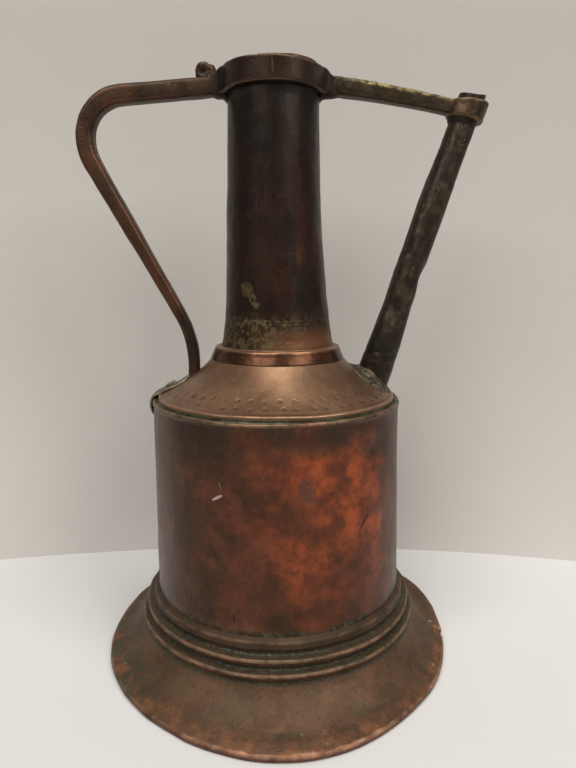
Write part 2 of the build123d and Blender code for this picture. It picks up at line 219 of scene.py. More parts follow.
def by_length(line, count):
    """`count` points spread evenly along a line."""
    steps = np.linalg.norm(np.diff(line, axis=0), axis=1)
    length = np.concatenate([[0], np.cumsum(steps)])
    wanted = np.linspace(0, length[-1], count)
    return np.stack([np.interp(wanted, length, line[:, k]) for k in range(2)], axis=1)


def outward(line):
    """Normals on the outer side of a line that runs from top to bottom."""
    tangent = np.gradient(line, axis=0)
    normal = np.stack([-tangent[:, 1], tangent[:, 0]], axis=1)
    return normal / np.linalg.norm(normal, axis=1)[:, None]


def sheet_outline(line, wall, inner_step=3.0):
    """Closed outline of a sheet: the line is its outer face, with rounded cut edges."""
    inner = line - outward(line) * wall
    inner_count = max(4, int(len(line) / inner_step))
    inner = by_length(inner, inner_count)[::-1]
    bottom = edge_round(line[-1], inner[0], line[-1] - line[-2])
    top = edge_round(inner[-1], line[0], line[0] - line[1])
    return np.concatenate([line, bottom, inner, top])


def edge_round(start, end, heading):
    """Half round from start to end that bulges along the heading."""
    middle, half = (start + end) / 2, np.linalg.norm(end - start) / 2
    along, side = unit(heading), unit(start - end)
    angles = np.radians((60, 30, 0, -30, -60))
    return np.array([
        middle + half * (math.sin(a) * side + math.cos(a) * along) for a in angles
    ])


# ---- meshes -------------------------------------------------------------
def grid_faces(rows, columns, ring=True):
    """Faces over rows x columns points numbered row by row; columns always close.

    Rows close into a ring too, or else meet one more point past each end.
    """
    i, j = np.meshgrid(np.arange(rows if ring else rows - 1), np.arange(columns), indexing="ij")
    below, beside = (i + 1) % rows, (j + 1) % columns
    corners = [
        i * columns + j,
        i * columns + beside,
        below * columns + beside,
        below * columns + j,
    ]
    faces = np.stack(corners, axis=-1).reshape(-1, 4).tolist()
    last = rows * columns
    for j in () if ring else range(columns):
        beside = (j + 1) % columns
        faces.append([last, beside, j])
        faces.append([last + 1, last - columns + j, last - columns + beside])
    return faces


def volume(points, faces):
    """Signed volume of a closed mesh."""
    total = 0.0
    for size in (3, 4):
        group = np.array([f for f in faces if len(f) == size])
        for k in range(1, size - 1) if len(group) else ():
            a, b, c = (points[group[:, n]] for n in (0, k, k + 1))
            total += np.einsum("ij,ij->i", a, np.cross(b, c)).sum()
    return total / 6


def stand_out(mesh, passes=14):
    """Stores how far each point stands out from the skin around it, in millimetres."""
    count = len(mesh.vertices)
    place = np.empty(3 * count)
    normal = np.empty(3 * count)
    ends = np.empty(2 * len(mesh.edges), dtype=np.int32)
    mesh.vertices.foreach_get("co", place)
    mesh.vertices.foreach_get("normal", normal)
    mesh.edges.foreach_get("vertices", ends)
    place, normal = place.reshape(-1, 3), normal.reshape(-1, 3)
    first, second = ends.reshape(-1, 2).T
    near = np.bincount(ends, minlength=count)
    blurred = place.copy()
    for _ in range(passes):
        total = blurred.copy()
        for k in range(3):
            total[:, k] += np.bincount(first, blurred[second, k], count)
            total[:, k] += np.bincount(second, blurred[first, k], count)
        blurred = total / (near + 1)[:, None]
    proud = np.einsum("ij,ij->i", place - blurred, normal) / MM
    layer = mesh.attributes.new("edge", "FLOAT", "POINT")
    layer.data.foreach_set("value", proud.astype(np.float32))


def linked(name, data):
    """New object with this data, in the scene."""
    made = bpy.data.objects.new(name, data)
    bpy.context.scene.collection.objects.link(made)
    return made


def build(name, points, faces, nodes, slot):
    """Makes one closed piece from points in millimetres, in the look of its slot."""
    if volume(points, faces) < 0:
        faces = [f[::-1] for f in faces]
    mesh = bpy.data.meshes.new(name)
    mesh.from_pydata((points * MM).tolist(), [], faces)
    mesh.shade_smooth()
    mesh.update()
    stand_out(mesh)
    piece = linked(name, mesh)
    mesh.materials.append(LOOKS[slot])
    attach(piece, "root")
    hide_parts(*nodes)


def turned(outline, turns, shape=None):
    """Points and faces of a closed outline turned about Z.

    shape(angle, radius, height, place) returns the changed radius and height.
    """
    outline = np.asarray(outline)
    angle, radius = np.meshgrid(np.arange(turns) * TURN / turns, outline[:, 0])
    height = np.repeat(outline[:, 1], turns)
    angle, radius = angle.ravel(), radius.ravel()
    if shape:
        place = np.stack([radius * np.cos(angle), radius * np.sin(angle), height], axis=1)
        radius, height = shape(angle, radius, height, place)
    points = np.stack([radius * np.cos(angle), radius * np.sin(angle), height], axis=1)
    return points, grid_faces(len(outline), turns)


def bar(path, section, around):
    """Points and faces of a closed bar along a path in the XZ plane.

    section(share) returns width along Y, thickness, and how square the section is.
    """
    tangent = np.gradient(path, axis=0)
    tangent /= np.linalg.norm(tangent, axis=1)[:, None]
    length = np.linalg.norm(np.diff(path, axis=0), axis=1).sum()
    angle = np.arange(around) * TURN / around
    rings = []
    for i, (point, ahead) in enumerate(zip(path, tangent)):
        share = i / (len(path) - 1)
        width, thick, square = section(share)
        to_end = min(share, 1 - share) * length
        tuck = math.sqrt(1 - (1 - min(to_end / 1.5, 1)) ** 2) * 0.12 + 0.88
        side = np.sign(np.cos(angle)) * np.abs(np.cos(angle)) ** (2 / square)
        up = np.sign(np.sin(angle)) * np.abs(np.sin(angle)) ** (2 / square)
        rise = up * thick / 2 * tuck
        ring = np.stack([
            point[0] - ahead[1] * rise,
            side * width / 2 * tuck,
            point[1] + ahead[0] * rise,
        ], axis=1)
        rings.append(ring)
    ends = [[point[0], 0, point[1]] for point in (path[0], path[-1])]
    return np.concatenate(rings + [ends]), grid_faces(len(path), around, ring=False)


def skin_normals(points, faces):
    """Outward direction at each point of a closed mesh."""
    quads = np.array([f if len(f) == 4 else [*f, f[-1]] for f in faces])
    a, b, c, d = (points[quads[:, k]] for k in range(4))
    direction = np.cross(c - a, d - b)
    normal = np.zeros_like(points)
    for k in range(4):
        for axis in range(3):
            normal[:, axis] += np.bincount(quads[:, k], direction[:, axis], len(points))
    normal /= np.linalg.norm(normal, axis=1)[:, None] + 1e-12
    return normal * (1 if volume(points, faces) > 0 else -1)


def pushed(points, faces, amount):
    """Points moved along their normals by amount(points), in millimetres."""
    return points + skin_normals(points, faces) * amount(points)[:, None]


def leaning(points):
    """The can leans: its top and its neck stand a little to one side."""
    points = points.copy()
    height, reach = points[:, 2], np.hypot(points[:, 0], points[:, 1])
    body = -1.0 * ease(height, 70, 180) * ease(reach, 55, 78)
    points[:, 0] += body + NECK_LEAN * ease(height, 238, 335) * ease(reach, 60, 55)
    return points


# ---- materials ------------------------------------------------------------
VERDIGRIS = (0.052, 0.078, 0.052)
GRIME = (0.012, 0.010, 0.007)
CONE_SLOPE = (RING_FOOT_Z - CREASE_Z) / (CREASE_R - RING_R)


class Paint:
    """One procedural material. Its calls add nodes and return sockets, or coat it."""

    def __init__(self, name, seed=0.0):
        self.seed = seed
        self.material = bpy.data.materials.new(name)
        self.material.use_nodes = True
        self.tree = self.material.node_tree
        self.shader = self.tree.nodes["Principled BSDF"]
        self.place = self.add("ShaderNodeTexCoord").outputs["Object"]
        apart = self.add("ShaderNodeSeparateXYZ", [self.place])
        self.x, self.y, self.z = apart.outputs
        self.edge = self.add("ShaderNodeAttribute", attribute_name="edge").outputs["Fac"]

    def add(self, kind, inputs=(), **settings):
        node = self.tree.nodes.new(kind)
        for key, value in settings.items():
            setattr(node, key, value)
        for key, value in inputs.items() if isinstance(inputs, dict) else enumerate(inputs):
            self.feed(node.inputs[key], value)
        return node

    def feed(self, socket, value):
        if isinstance(value, bpy.types.NodeSocket):
            self.tree.links.new(value, socket)
        elif value is not None:
            socket.default_value = value

    def math(self, operation, first, second=None):
        node = self.add("ShaderNodeMath", [first, second], operation=operation)
        return node.outputs[0]

    def plus(self, first, second):
        return self.math("ADD", first, second)

    def times(self, *values):
        total = values[0]
        for value in values[1:]:
            total = self.math("MULTIPLY", total, value)
        return total

    def noise(self, size, detail=5.0, stretch=(1, 1, 1), seed=0.0, bend=0.0):
        """Fractal noise from 0 to 1 with features about `size` millimetres."""
        at = self.add(
            "ShaderNodeMapping",
            {"Vector": self.place, "Location": (seed, 0.7 * seed, 1.3 * seed), "Scale": stretch},
        )
        inputs = {
            "Vector": at.outputs[0],
            "Scale": 1 / (size * MM),
            "Detail": detail,
            "Roughness": 0.6,
            "Distortion": bend,
        }
        return self.add("ShaderNodeTexNoise", inputs).outputs[0]

    def dots(self, size, seed=0.0):
        """Distance to the nearest of many scattered points, 0 at each point."""
        at = self.add(
            "ShaderNodeMapping", {"Vector": self.place, "Location": (seed, seed, seed)}
        )
        inputs = {"Vector": at.outputs[0], "Scale": 1 / (size * MM)}
        return self.add("ShaderNodeTexVoronoi", inputs).outputs["Distance"]

    def net(self, size, stretch, seed=0.0):
        """0 on a net of thin cracks between cells about `size` across, more inside them."""
        at = self.add(
            "ShaderNodeMapping",
            {"Vector": self.place, "Location": (seed, seed, seed), "Scale": stretch},
        )
        inputs = {"Vector": at.outputs[0], "Scale": 1 / (size * MM)}
        cells = self.add("ShaderNodeTexVoronoi", inputs, feature="DISTANCE_TO_EDGE")
        return cells.outputs["Distance"]

    def step(self, value, low, high):
        """0 at `low`, 1 at `high`, smooth between; falls where low > high."""
        inputs = {"Value": value, "From Min": low, "From Max": high}
        node = self.add("ShaderNodeMapRange", inputs, interpolation_type="SMOOTHSTEP")
        return node.outputs[0]

    def range(self, value, low, high):
        """Maps 0..1 to low..high."""
        inputs = {"Value": value, "To Min": low, "To Max": high}
        return self.add("ShaderNodeMapRange", inputs).outputs[0]

    def patches(self, size, seed, low, high, **noise):
        """Noise sharpened into patches: 0 where it is under `low`, 1 over `high`."""
        return self.step(self.noise(size, seed=seed, **noise), low, high)

    def vary(self, size, seed, low, high, **noise):
        """Noise that wanders between `low` and `high`."""
        return self.range(self.noise(size, seed=seed, **noise), low, high)

    def mix(self, share, first, second, blend="MIX"):
        node = self.add("ShaderNodeMix", data_type="RGBA", blend_type=blend)
        for socket, value in zip((0, 6, 7), (share, first, second)):
            self.feed(node.inputs[socket], rgb(value))
        return node.outputs[2]

    def coat(self, tint, *shares):
        """Lays a colour over what is there, by the product of its shares."""
        self.colour = self.mix(self.times(*shares), self.colour, tint)

    def band(self, value, centre, half):
        """1 where value is within half of centre, fading out on both sides."""
        away = self.math("ABSOLUTE", self.math("SUBTRACT", value, centre))
        return self.step(away, half, 0.4 * half)

    def bump(self, height, depth, under=None):
        """Bump whose full height is `depth` millimetres."""
        inputs = {"Strength": 1.0, "Distance": depth * MM, "Height": height, "Normal": under}
        return self.add("ShaderNodeBump", inputs).outputs[0]

    def copper(self, dark, mid, bright, patch, streak=(1, 1, 1)):
        """Tarnished copper: broad soft patches, finer mottling and grain."""
        broad = self.noise(patch, 5, streak, self.seed)
        self.colour = self.mix(self.step(broad, 0.36, 0.66), dark, mid)
        fine = self.noise(patch / 6, 6, streak, self.seed + 3)
        self.coat(bright, self.step(fine, 0.50, 0.80), 0.55)
        grain = self.noise(1.6, 4, (1, 1, 1), self.seed + 5)
        self.coat(dark, self.step(grain, 0.54, 0.72), 0.38)
        self.coat(bright, self.step(grain, 0.44, 0.30), 0.28)

    def aged(self, worn, wear, green, sunk=(-0.05, -0.26)):
        """Adds bright worn edges, grime in the hollows and verdigris beside it."""
        rubbed = self.step(self.edge, *wear)
        self.coat(worn, rubbed, self.patches(9, self.seed + 11, 0.30, 0.60), 0.8)
        self.coat(GRIME, self.step(self.edge, *sunk), 0.85)
        salt = self.patches(2.4, self.seed + 17, 0.52, 0.66, detail=6)
        self.coat(VERDIGRIS, self.step(self.edge, -0.03, -0.20), salt, green)

    def skin(self, grain, pit, scratch):
        """Bump of fine grain, scattered pits and light scratches."""
        normal = self.bump(self.noise(1.1, 6, (1, 1, 1), self.seed + 21), grain)
        normal = self.bump(self.step(self.dots(5.5, self.seed), 0.05, 0.26), pit, normal)
        lines = self.patches(
            4, self.seed + 23, 0.62, 0.66, detail=2, stretch=(5, 5, 0.6), bend=2.5
        )
        return self.bump(lines, -scratch, normal)

    def done(self, rough, normal, metal=0.9, gloss=0.5):
        self.feed(self.shader.inputs["Base Color"], rgb(self.colour))
        self.feed(self.shader.inputs["Roughness"], rough)
        self.feed(self.shader.inputs["Normal"], normal)
        self.feed(self.shader.inputs["Metallic"], metal)
        self.feed(self.shader.inputs["Specular IOR Level"], gloss)
        return self.material


def rgb(value):
    """A colour tuple as RGBA; anything else unchanged."""
    return (*value, 1.0) if isinstance(value, tuple) and len(value) == 3 else value


# Height and half width in metres of the valleys between the foot's beads.
VALLEYS = ((0.0422, 0.0024), (0.0346, 0.0030), (0.0276, 0.0022))


def foot_look():
    paint = Paint("foot_copper", 1.0)
    paint.copper((0.074, 0.040, 0.022), (0.124, 0.066, 0.037), (0.165, 0.092, 0.054), 30)
    olive = paint.patches(34, 2.4, 0.50, 0.64)
    paint.coat((0.090, 0.064, 0.034), olive, 0.40)
    blot = paint.patches(24, 6.4, 0.55, 0.68)
    paint.coat((0.165, 0.074, 0.046), blot, 0.4)
    # The folded hem is rubbed to orange in patches that stray over its inner line.
    stray = paint.vary(9, 5.1, -0.004, 0.004)
    hem = paint.step(paint.plus(paint.z, stray), 0.0095, 0.0070)
    rust = paint.patches(13, 9.6, 0.36, 0.66, detail=6)
    paint.coat((0.235, 0.098, 0.044), hem, rust, 0.8)
    grit = paint.patches(3.0, 6.9, 0.54, 0.68, detail=6)
    paint.coat((0.050, 0.031, 0.018), grit, 0.6)
    paint.aged((0.50, 0.28, 0.18), (0.12, 0.42), 0.6, (-0.12, -0.60))
    first_bead = paint.step(paint.z, (foot_high.z - 8.6) * MM, (foot_high.z - 6.6) * MM)
    dull = paint.range(paint.patches(16, 5.7, 0.40, 0.62), 0.65, 0.95)
    paint.coat((0.040, 0.025, 0.015), first_bead, dull)
    # Painted shade: the underside of the foot's rim is darkened.
    under = paint.step(paint.z, 0.0044, 0.0026)
    paint.coat((0.050, 0.013, 0.013), under, 0.75)
    # Verdigris gathers in the valleys under the ridges and along the wall.
    upper, middle, lower = (paint.band(paint.z, *valley) for valley in VALLEYS)
    valleys = paint.plus(middle, paint.plus(upper, lower))
    crust = paint.patches(2.2, 3.3, 0.50, 0.62, detail=6)
    paint.coat((0.030, 0.026, 0.015), valleys, 0.55)
    paint.coat((0.075, 0.090, 0.056), valleys, crust, 0.7)
    corner = paint.times(paint.step(paint.x, -0.070, -0.110), paint.step(paint.z, 0.026, 0.010))
    moss = paint.patches(13, 7.9, 0.44, 0.58, detail=6)
    paint.coat((0.045, 0.058, 0.036), corner, moss, 0.8)
    pale = paint.times(
        paint.step(paint.dots(11, 4.0), 0.16, 0.07),
        paint.patches(38, 8.8, 0.54, 0.60, detail=3),
        paint.band(paint.z, 0.0098, 0.0040),
    )
    paint.coat((0.34, 0.38, 0.26), pale, 0.9)
    return paint.done(paint.vary(14, 8.0, 0.42, 0.66), paint.skin(0.08, 0.14, 0.03), 0.58, 0.35)


def mark(paint, place, half, tilt=0.0, rough_edge=0.35):
    """1 inside a small slanted oval on the front, with a broken edge; 0 elsewhere."""
    x, z = place
    dx = paint.math("SUBTRACT", paint.x, x * MM)
    dz = paint.math("SUBTRACT", paint.z, z * MM)
    cos, sin = math.cos(tilt), math.sin(tilt)
    long, wide = half[0] * MM, half[1] * MM
    u = paint.plus(paint.times(dx, cos / long), paint.times(dz, sin / long))
    v = paint.plus(paint.times(dx, -sin / wide), paint.times(dz, cos / wide))
    away = paint.plus(paint.times(u, u), paint.times(v, v))
    ragged = paint.vary(2.5, x, -rough_edge, rough_edge)
    inside = paint.step(paint.plus(away, ragged), 1.15, 0.75)
    return paint.times(inside, paint.step(paint.y, 0.0, -0.010))


def body_look():
    paint = Paint("body_copper", 2.0)
    dark, mid, bright = (0.038, 0.019, 0.010), (0.080, 0.032, 0.016), (0.118, 0.051, 0.028)
    paint.copper(dark, mid, bright, 26, (1, 1, 0.8))
    # Fire-red copper shows through on the spout's side, halfway up; part of this red is a painted
    # highlight, broad and warm, that fades where the wall turns away.
    turning_away = paint.range(paint.step(paint.x, 0.080, 0.062), 0.35, 1.0)
    side = paint.times(paint.step(paint.x, -0.040, 0.024), turning_away)
    level = paint.times(paint.step(paint.z, 0.066, 0.110), paint.step(paint.z, 0.192, 0.160))
    flame = paint.patches(40, 5.2, 0.36, 0.60, detail=6, stretch=(1, 1, 0.9))
    hot = paint.patches(17, 4.2, 0.38, 0.64, detail=6)
    warm = paint.mix(hot, (0.150, 0.036, 0.018), (0.38, 0.085, 0.026))
    red_copper_and_highlight = paint.times(side, paint.range(level, 0.30, 1.0), paint.range(flame, 0.25, 1.0))
    paint.coat(warm, red_copper_and_highlight, 0.92)
    blush = paint.patches(30, 7.3, 0.50, 0.66)
    paint.coat((0.170, 0.048, 0.026), blush, 0.5)
    cloud = paint.patches(29, 9.1, 0.50, 0.66, detail=6)
    paint.coat((0.030, 0.018, 0.010), cloud, 0.72)
    high = paint.times(paint.step(paint.z, 0.158, 0.184), paint.patches(22, 3.9, 0.42, 0.56))
    paint.coat((0.036, 0.024, 0.016), high, 0.75)
    mottle = paint.patches(4.2, 8.2, 0.48, 0.68, detail=6, stretch=(1, 1, 0.8))
    paint.coat((0.048, 0.021, 0.012), mottle, 0.42)
    # Painted reflection: a pale strip down the wall's left edge.
    left_edge_reflection = paint.times(paint.step(paint.x, -0.058, -0.084), 0.5)
    paint.coat((0.120, 0.082, 0.060), left_edge_reflection)
    specks = paint.patches(1.5, 6.6, 0.68, 0.74, detail=3, stretch=(1, 1, 0.6))
    paint.coat((0.012, 0.010, 0.008), specks, 0.6)
    paint.aged((0.23, 0.150, 0.090), (0.07, 0.30), 0.7)
    ragged = paint.vary(12, 1.2, -0.007, 0.007, detail=6)
    foot = paint.step(paint.plus(paint.z, ragged), 0.0570, 0.0530)
    salts = paint.patches(3.5, 2.2, 0.50, 0.62)
    moss = paint.mix(salts, (0.028, 0.024, 0.015), (0.070, 0.095, 0.062))
    paint.coat(moss, foot, 0.85)
    # A pale nick with its scratch, a round stain, a dark scratch and three short ones.
    paint.coat((0.42, 0.34, 0.28), mark(paint, (-36.8, 144.0), (4.2, 0.9), 0.55))
    paint.coat((0.26, 0.17, 0.12), mark(paint, (-34.8, 152.0), (0.5, 3.2), 0.3), 0.5)
    paint.coat((0.066, 0.042, 0.034), mark(paint, (20.0, 149.5), (5.0, 8.5), 0.35, 0.6), 0.6)
    paint.coat((0.020, 0.012, 0.009), mark(paint, (57.5, 122.0), (0.8, 6.5), -0.55, 1.4), 0.9)
    for x, z, length in ((-72.0, 87.0, 2.6), (-57.0, 69.0, 3.2), (-27.0, 64.0, 2.8)):
        paint.coat((0.016, 0.012, 0.010), mark(paint, (x, z), (0.7, length)), 0.85)
    rough = paint.vary(11, 3.0, 0.28, 0.50, detail=6, stretch=(1, 1, 0.8))
    return paint.done(rough, paint.skin(0.045, 0.05, 0.02), 0.60, 0.35)


def shoulder_look():
    paint = Paint("shoulder_copper", 3.0)
    paint.copper((0.152, 0.084, 0.047), (0.240, 0.138, 0.080), (0.315, 0.188, 0.115), 34)
    brown = paint.patches(20, 8.1, 0.52, 0.66)
    paint.coat((0.19, 0.090, 0.050), brown, 0.45)
    paint.aged((0.36, 0.215, 0.13), (0.06, 0.30), 0.35, (-0.04, -0.25))
    groove_z = (CREASE_Z - 1.9) * MM
    groove = paint.step(paint.z, groove_z + 0.0009, groove_z)
    moss = paint.patches(9, 2.9, 0.40, 0.60, detail=6)
    green = paint.mix(moss, (0.060, 0.048, 0.030), (0.115, 0.135, 0.085))
    paint.coat(green, groove, 0.9)
    return paint.done(paint.vary(10, 3.0, 0.34, 0.48), paint.skin(0.045, 0.05, 0.02), 0.78)


def ring_look():
    paint = Paint("polished_copper", 4.0)
    paint.copper((0.044, 0.018, 0.009), (0.082, 0.033, 0.016), (0.135, 0.060, 0.031), 14)
    paint.aged((0.46, 0.25, 0.15), (0.16, 0.46), 0.6)
    # Painted highlight: a brighter band along the rounded top of the ring.
    top = paint.step(paint.z, (RING_TOP_Z - 2.4) * MM, (RING_TOP_Z - 0.8) * MM)
    paint.coat((0.31, 0.160, 0.088), top, 0.6)
    low = paint.step(paint.z, (RING_FOOT_Z + 1.4) * MM, (RING_FOOT_Z - 1.0) * MM)
    paint.coat((0.065, 0.034, 0.022), low, 0.65)
    return paint.done(paint.vary(6, 4.0, 0.24, 0.40), paint.skin(0.03, 0.05, 0.02), 0.88)


def neck_look():
    paint = Paint("neck_copper", 5.0)
    dark, mid, bright = (0.014, 0.010, 0.008), (0.029, 0.017, 0.012), (0.050, 0.027, 0.018)
    paint.copper(dark, mid, bright, 18, (1, 1, 0.5))
    # Painted highlight: warm upright streaks below the collar, stronger on the right of the neck.
    warm = paint.times(
        paint.patches(19, 7.7, 0.42, 0.62, stretch=(1, 1, 0.45)),
        paint.range(paint.step(paint.x, -0.020, 0.024), 0.30, 1.0),
        paint.step(paint.z, 0.395, 0.345),
    )
    paint.coat((0.050, 0.017, 0.009), warm, 0.55)
    rubbed = paint.patches(11, 8.3, 0.46, 0.66, stretch=(1, 1, 0.6))
    lines = paint.times(paint.step(paint.net(8.0, (1, 1, 0.45), 1.7), 0.085, 0.0), rubbed)
    lines = paint.times(lines, paint.step(paint.z, 0.400, 0.370))
    paint.coat((0.105, 0.040, 0.020), lines, 0.26)
    upper = paint.step(paint.z, 0.300, 0.395)
    paint.coat((0.011, 0.009, 0.007), upper, 0.55)
    # Painted highlight: bright orange on the right of the neck's flared foot.
    neck_foot_highlight = paint.times(
        paint.step(paint.z, 0.250, 0.238), paint.step(paint.x, -0.024, 0.006)
    )
    paint.coat((0.19, 0.075, 0.038), neck_foot_highlight, 0.75)
    paint.aged((0.12, 0.060, 0.040), (0.08, 0.25), 0.3)
    # A mottled band of olive and brass spots above the ring, thinner towards its top.
    stray = paint.vary(11, 6.1, -0.006, 0.006)
    foot = paint.step(paint.plus(paint.z, stray), 0.2585, 0.2500)
    spots = paint.patches(4.0, 1.9, 0.46, 0.56, detail=4)
    brass = paint.mix(spots, (0.024, 0.017, 0.009), (0.092, 0.066, 0.027))
    flecks = paint.patches(2.2, 4.4, 0.60, 0.68, detail=4)
    brass = paint.mix(paint.times(flecks, 0.6), brass, (0.25, 0.17, 0.07))
    left = paint.range(paint.step(paint.x, 0.030, -0.012), 0.30, 1.0)
    paint.coat(brass, foot, paint.range(spots, 0.30, 0.92), left)
    blob_spot = mark(paint, (-20.0, 272.5), (4.4, 5.2), 0.4, 1.0)
    paint.coat((0.105, 0.080, 0.036), blob_spot, paint.range(spots, 0.45, 0.85))
    drip = mark(paint, (-15.0, 265.0), (3.2, 5.5), 0.4, 0.9)
    paint.coat((0.130, 0.100, 0.040), drip, spots, 0.8)
    rough = paint.vary(8, 5.0, 0.28, 0.46, stretch=(1, 1, 0.6))
    rough = paint.plus(rough, paint.times(foot, 0.12))
    return paint.done(rough, paint.skin(0.05, 0.05, 0.02), 0.50, 0.22)


def strap_look():
    paint = Paint("strap_bronze", 6.0)
    dark, mid, bright = (0.026, 0.016, 0.010), (0.053, 0.032, 0.020), (0.088, 0.052, 0.032)
    paint.copper(dark, mid, bright, 17, (1, 1, 0.8))
    red = paint.patches(28, 3.3, 0.40, 0.62, stretch=(1, 1, 0.7))
    far = paint.step(paint.x, -0.060, -0.120)
    low = paint.step(paint.z, 0.400, 0.340)
    reach = paint.math("MAXIMUM", far, low)
    paint.coat((0.100, 0.040, 0.022), red, paint.range(reach, 0.15, 0.85))
    band = paint.step(paint.x, -0.050, -0.040)
    paint.coat((0.018, 0.012, 0.008), band, 0.62)
    paint.aged((0.115, 0.074, 0.042), (0.16, 0.55), 0.25)
    scratch = mark(paint, (-2.0, 413.5), (0.8, 4.6), 0.05, 1.6)
    paint.coat((0.20, 0.16, 0.12), scratch, 0.22)
    chipped = paint.times(
        paint.step(paint.z, 0.4192, 0.4200),
        paint.patches(3.2, 2.8, 0.46, 0.56, detail=4),
        paint.band(paint.x, -0.004, 0.016),
    )
    paint.coat((0.55, 0.46, 0.26), chipped, 0.9)
    return paint.done(paint.vary(8, 6.0, 0.30, 0.50), paint.skin(0.05, 0.10, 0.02), 0.62, 0.25)


def stay_look():
    paint = Paint("stay_brass", 7.0)
    dark, mid, bright = (0.028, 0.020, 0.010), (0.062, 0.045, 0.023), (0.100, 0.076, 0.038)
    paint.copper(dark, mid, bright, 9, (0.6, 1, 1))
    root = paint.times(paint.step(paint.x, 0.066, 0.044), paint.patches(5, 5.5, 0.40, 0.60))
    paint.coat((0.018, 0.014, 0.009), root, 0.8)
    red = paint.times(
        paint.patches(15, 2.3, 0.44, 0.62, stretch=(0.7, 1, 1)), paint.step(paint.x, 0.090, 0.125)
    )
    paint.coat((0.080, 0.044, 0.026), red, 0.6)
    paint.aged((0.17, 0.12, 0.06), (0.16, 0.50), 0.35)
    # The upper edge is bare brass where it has been knocked, lightened further as a painted
    # highlight along the top.
    ragged = paint.vary(3.5, 3.1, -0.0014, 0.0014)
    slope = paint.plus(paint.z, paint.times(paint.x, 0.17))
    high = paint.step(paint.plus(slope, ragged), 0.4200, 0.4216)
    patchy = paint.patches(7, 6.8, 0.36, 0.58)
    span = paint.times(paint.step(paint.x, 0.046, 0.058), paint.step(paint.x, 0.128, 0.116))
    paint.coat((0.27, 0.215, 0.095), high, patchy, span, 0.85)
    return paint.done(paint.vary(6, 7.0, 0.30, 0.52), paint.skin(0.07, 0.14, 0.03), 0.64, 0.3)


def tube_look():
    paint = Paint("tube_dark", 8.0)
    dark, mid, bright = (0.016, 0.011, 0.007), (0.032, 0.023, 0.015), (0.056, 0.041, 0.026)
    paint.copper(dark, mid, bright, 9, (1, 1, 0.7))
    olive = paint.patches(9, 4.9, 0.48, 0.64, detail=6, stretch=(1, 1, 0.7))
    paint.coat((0.066, 0.054, 0.032), olive, 0.5)
    flecks = paint.patches(2.6, 9.9, 0.64, 0.70)
    paint.coat((0.24, 0.18, 0.08), flecks, 0.6)
    paint.aged((0.15, 0.12, 0.08), (0.10, 0.34), 0.4)
    top = paint.step(paint.z, (eye_high.z - 5.5) * MM, (eye_high.z - 3.0) * MM)
    paint.coat((0.016, 0.008, 0.008), top, 0.85)
    foot = paint.step(paint.z, 0.262, 0.226)
    paint.coat((0.012, 0.009, 0.006), foot, 0.65)
    rough = paint.vary(7, 8.0, 0.32, 0.54, stretch=(1, 1, 0.7))
    return paint.done(rough, paint.skin(0.11, 0.20, 0.03), 0.55, 0.28)


def solder_look(name, dark, pale, crust, seed):
    """Dull solder; `crust` is how much of it is crusted with pale salts."""
    paint = Paint(name, seed)
    middle = tuple(0.5 * (a + b) for a, b in zip(dark, pale))
    paint.copper(dark, middle, pale, 7)
    # The salts lie low, beside the cone; the tube's side of the fillet stays dark.
    above = paint.plus(paint.z, paint.times(paint.x, CONE_SLOPE))
    ragged = paint.vary(4, seed + 1, -0.006, 0.006, detail=6)
    low = paint.step(paint.plus(above, ragged), 0.2612, 0.2580)
    salt = paint.patches(2.2, seed + 2, 0.48, 0.62, detail=6)
    paint.coat((0.180, 0.166, 0.126), salt, low, crust)
    cracks = paint.patches(2.4, seed + 6, 0.46, 0.38, detail=6, stretch=(1, 1, 3), bend=1.0)
    paint.coat(GRIME, cracks, 0.8)
    paint.aged(tuple(1.5 * c for c in pale), (0.08, 0.34), 0.0)
    return paint.done(paint.vary(4, seed, 0.40, 0.70), paint.skin(0.14, 0.20, 0.01), 0.5, 0.3)


def leaf_look():
    paint = Paint("leaf_tin", 12.0)
    paint.copper((0.062, 0.048, 0.028), (0.130, 0.106, 0.062), (0.20, 0.17, 0.11), 10)
    paint.aged((0.32, 0.28, 0.19), (0.06, 0.30), 0.5)
    return paint.done(paint.vary(5, 12.0, 0.36, 0.60), paint.skin(0.06, 0.12, 0.04), 0.6)


def inner_look():
    paint = Paint("inner_copper", 13.0)
    paint.copper((0.012, 0.010, 0.009), (0.045, 0.030, 0.022), (0.12, 0.062, 0.036), 18)
    return paint.done(paint.vary(7, 13.0, 0.50, 0.80), paint.skin(0.08, 0.10, 0.02), 0.6)


LOOKS = {
    "foot_copper": foot_look(),
    "body_copper": body_look(),
    "shoulder_copper": shoulder_look(),
    "polished_copper": ring_look(),
    "neck_copper": neck_look(),
    "strap_bronze": strap_look(),
    "stay_brass": stay_look(),
    "tube_dark": tube_look(),
    "solder": solder_look("solder", (0.019, 0.014, 0.009), (0.064, 0.050, 0.033), 0.80, 9.0),
    "dark_solder": solder_look(
        "dark_solder", (0.015, 0.011, 0.008), (0.036, 0.025, 0.017), 0.0, 10.0
    ),
    "leaf_tin": leaf_look(),
    "inner_copper": inner_look(),
}


# ---- bell foot: three beads, a trumpet flare and a folded hem -----------------
SEAM_ANGLE = -6          # degrees; lapped seam of the foot, on the spout's side


